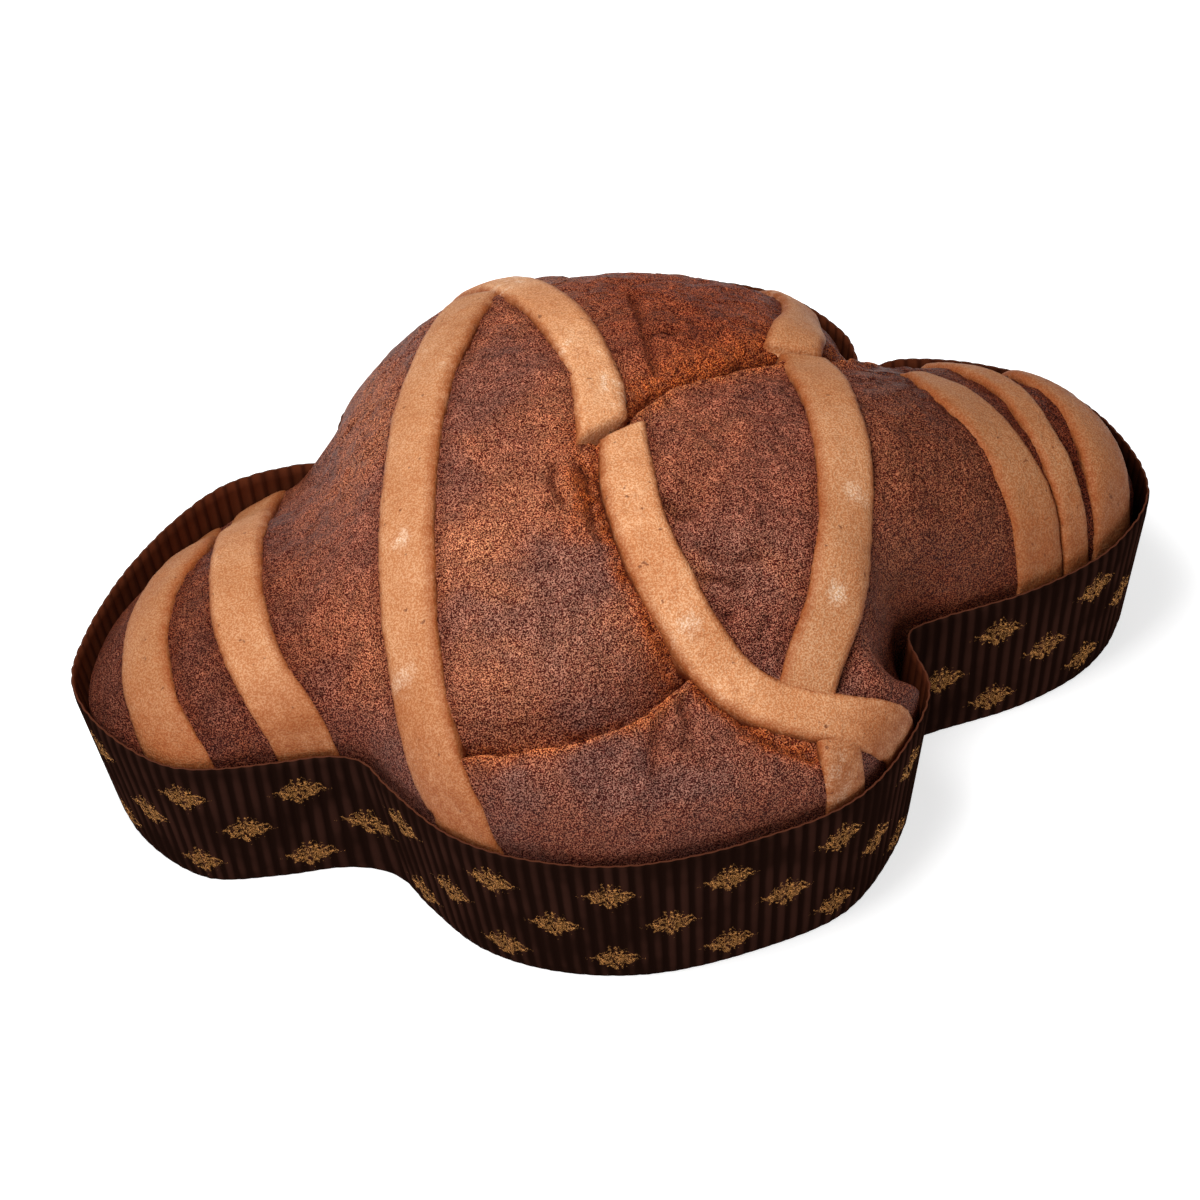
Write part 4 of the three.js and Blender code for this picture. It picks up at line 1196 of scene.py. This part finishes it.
def case_tree(finish):
    """Fluted paper round a closed outline: foot, outer wall, cut edge, inner wall and floor."""
    tree, net, given = new_tree("fluted_case", {
        "Height": "Float", "Flare": "Float", "Paper": "Float", "Inset": "Float", "Floor": "Float",
        "Flutes": "Int", "Columns": "Int", "Rows": "Int", "Flute Depth": "Float", "Flute Fade": "Float",
        "Rim Wave": "Float", "Middle": "Vector", "Seed": "Float",
    })
    outline = net.add("GeometryNodeMeshToCurve", {0: given["Geometry"]})
    tub = net.add(
        "GeometryNodeMeshCylinder",
        {"Vertices": net.math("MULTIPLY", given["Flutes"], given["Columns"]), "Side Segments": given["Rows"],
         "Radius": 1.0, "Depth": 1.0},
        out=None, fill_type="TRIANGLE_FAN",
    )
    x, y, row = net.split_xyz(net.add("GeometryNodeInputPosition"))[:3]
    row = net.math("ADD", row, 0.5)
    turn = net.math("DIVIDE", net.math("ARCTAN2", y, x), math.tau)
    turn = net.math("FRACT", net.math("ADD", turn, 1.0))
    inner_start = OUTER_ROWS + EDGE_ROWS
    climb = net.math("DIVIDE", row, OUTER_ROWS, clamp=True)
    over = net.math("DIVIDE", net.math("SUBTRACT", row, OUTER_ROWS), EDGE_ROWS, clamp=True)
    descend = net.math("DIVIDE", net.math("SUBTRACT", row, inner_start), 1 - inner_start, clamp=True)
    line = net.add("GeometryNodeSampleCurve", {"Curves": outline, "Factor": turn}, out=None, mode="FACTOR")
    place, along = line.outputs["Position"], line.outputs["Tangent"]
    outwards = net.vector("NORMALIZE", net.vector("CROSS_PRODUCT", along, (0, 0, 1)))
    drop = net.math("SUBTRACT", given["Height"], given["Floor"])
    climbed = net.math("MULTIPLY", given["Height"], climb)
    height = net.math("SUBTRACT", climbed, net.math("MULTIPLY", drop, descend))
    crimp = net.noise(place, CRIMP_WAVES, 3.0, seed=given["Seed"])
    wave = net.math("MULTIPLY", net.math("SUBTRACT", crimp, 0.5), given["Rim Wave"])
    rise = net.math("MULTIPLY_ADD", net.math("MULTIPLY", wave, 2.0), net.math("POWER", climb, 3.0), height)
    height = net.math("SUBTRACT", rise, net.math("MULTIPLY", net.math("MULTIPLY", wave, 2.0), descend))
    phase = net.math("MULTIPLY", turn, net.math("MULTIPLY", given["Flutes"], math.pi))
    ridge = net.math("POWER", net.math("ABSOLUTE", net.math("SINE", phase)), FLUTE_ROUND)
    strength = net.noise(place, FLUTE_WAVES, 2.0, seed=net.math("ADD", given["Seed"], 4.0))
    full_flute = net.math("MULTIPLY", ridge, given["Flute Depth"])
    flute = net.math("MULTIPLY", full_flute, net.math("ADD", strength, 0.5))
    below_rim = net.math("SUBTRACT", given["Height"], height)
    fade = net.ramp(net.math("DIVIDE", below_rim, given["Flute Fade"]), 0.0, 1.0, 0.35, 1.0)
    foot = net.ramp(net.math("DIVIDE", height, given["Flute Fade"]), 0.0, 1.5, 0.15, 1.0)
    flute = net.math("MULTIPLY", net.math("MULTIPLY", flute, fade), foot)
    lean = net.math("MULTIPLY", given["Flare"], net.math("SUBTRACT", given["Height"], height))
    back = net.math("MULTIPLY_ADD", given["Paper"], over, net.math("ADD", lean, given["Inset"]))
    reach = net.math("SUBTRACT", flute, back)
    spot = net.vector("MULTIPLY_ADD", outwards, net.join_xyz(reach, reach, reach), place)
    spot = net.vector("ADD", spot, net.join_xyz(0.0, 0.0, height))
    hub = net.math("LESS_THAN", net.vector("LENGTH", net.join_xyz(x, y, 0.0), out="Value"), 0.5)
    centre = net.vector("ADD", given["Middle"], net.join_xyz(0.0, 0.0, height))
    spot = net.add("ShaderNodeMix", {0: hub, 4: spot, 5: centre}, out=1, data_type="VECTOR")
    girth = net.add("GeometryNodeCurveLength", {0: outline})
    around = net.math("MULTIPLY", net.split_xyz(tub.outputs["UV Map"])[0], girth)
    wall = net.join_xyz(net.math("MULTIPLY", around, 1 / MM), net.math("MULTIPLY", height, 1 / MM), over)
    shape = store(net, tub.outputs["Mesh"], "wall", wall, "FLOAT_VECTOR", "CORNER")
    # Where the flutes' ridges are, for their painted highlight and the painted shade in the furrows
    shape = store(net, shape, "ridge", ridge)
    shape = net.add("GeometryNodeSetPosition", {"Geometry": shape, "Position": spot})
    close_tree(net, shape, finish)
    return tree


def make_case(finish):
    """The paper case round its outline."""
    n = len(rim_curve)
    edges = [(i, (i + 1) % n) for i in range(n)]
    outline = new_mesh("case_outline", np.column_stack([rim_curve, np.zeros(n)]), [], edges)
    return grow("fluted_case", outline, case_tree(finish), {
        "Height": CASE_HEIGHT * MM, "Flare": CASE_FLARE, "Paper": PAPER_THICK * MM,
        "Inset": PAPER_INSET * MM, "Floor": CASE_FLOOR * MM,
        "Flutes": FLUTE_COUNT, "Columns": FLUTE_COLUMNS, "Rows": CASE_ROWS,
        "Flute Depth": FLUTE_DEPTH * MM, "Flute Fade": FLUTE_FADE * MM, "Rim Wave": RIM_WAVE * MM,
        "Middle": (CAKE_MIDDLE[0] * MM, CAKE_MIDDLE[1] * MM, 0.0), "Seed": 3.0,
    })


# The studio

def make_floor():
    """A plain floor, wider than the view."""
    size = FLOOR_SIZE
    corners = [(-size, -size, 0), (size, -size, 0), (size, size, 0), (-size, size, 0)]
    floor = bpy.data.objects.new("studio_floor", new_mesh("studio_floor", corners, [(0, 1, 2, 3)]))
    floor.data.materials.append(floor_finish())
    bpy.context.scene.collection.objects.link(floor)


def make_lamp(name, place, size, power):
    """A square soft box that faces the cake."""
    data = bpy.data.lights.new(name, "AREA")
    data.size = size
    data.energy = power
    lamp = bpy.data.objects.new(name, data)
    lamp.location = place
    lamp.rotation_mode = "QUATERNION"
    lamp.rotation_quaternion = (-Vector(place)).to_track_quat("-Z", "Y")
    bpy.context.scene.collection.objects.link(lamp)


def make_studio():
    """White room light and the soft boxes."""
    world = bpy.data.worlds.new("studio")
    world.use_nodes = True
    world.node_tree.nodes["Background"].inputs["Color"].default_value = (1, 1, 1, 1)
    world.node_tree.nodes["Background"].inputs["Strength"].default_value = ROOM_LIGHT
    bpy.context.scene.world = world
    bpy.context.scene.view_settings.view_transform = "Standard"
    for name, box in SOFT_BOXES.items():
        make_lamp(name, **box)


def make_camera():
    """The camera at the photograph's angle."""
    data = bpy.data.cameras.new("photo_camera")
    data.lens = PHOTO_LENS
    data.sensor_width = PHOTO_SENSOR
    camera = bpy.data.objects.new("photo_camera", data)
    back = Vector((0, -math.cos(PHOTO_ELEVATION), math.sin(PHOTO_ELEVATION)))
    camera.location = PHOTO_TARGET + back * PHOTO_DISTANCE
    camera.rotation_mode = "QUATERNION"
    camera.rotation_quaternion = (-back).to_track_quat("-Z", "Y") @ Quaternion((0, 0, 1), PHOTO_ROLL)
    bpy.context.scene.collection.objects.link(camera)
    bpy.context.scene.camera = camera


def stand_for(piece, node):
    """Puts a piece in the place of its solid."""
    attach(piece, "root")
    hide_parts(node)


cake = make_cake(crust_finish())
strips = make_strips(strip_finish())
paper_case = make_case(paper_finish())
stand_for(cake, "cake")
stand_for(paper_case, "paper_case")
for node, strip in strips.items():
    stand_for(strip, node)
make_floor()
make_studio()
make_camera()
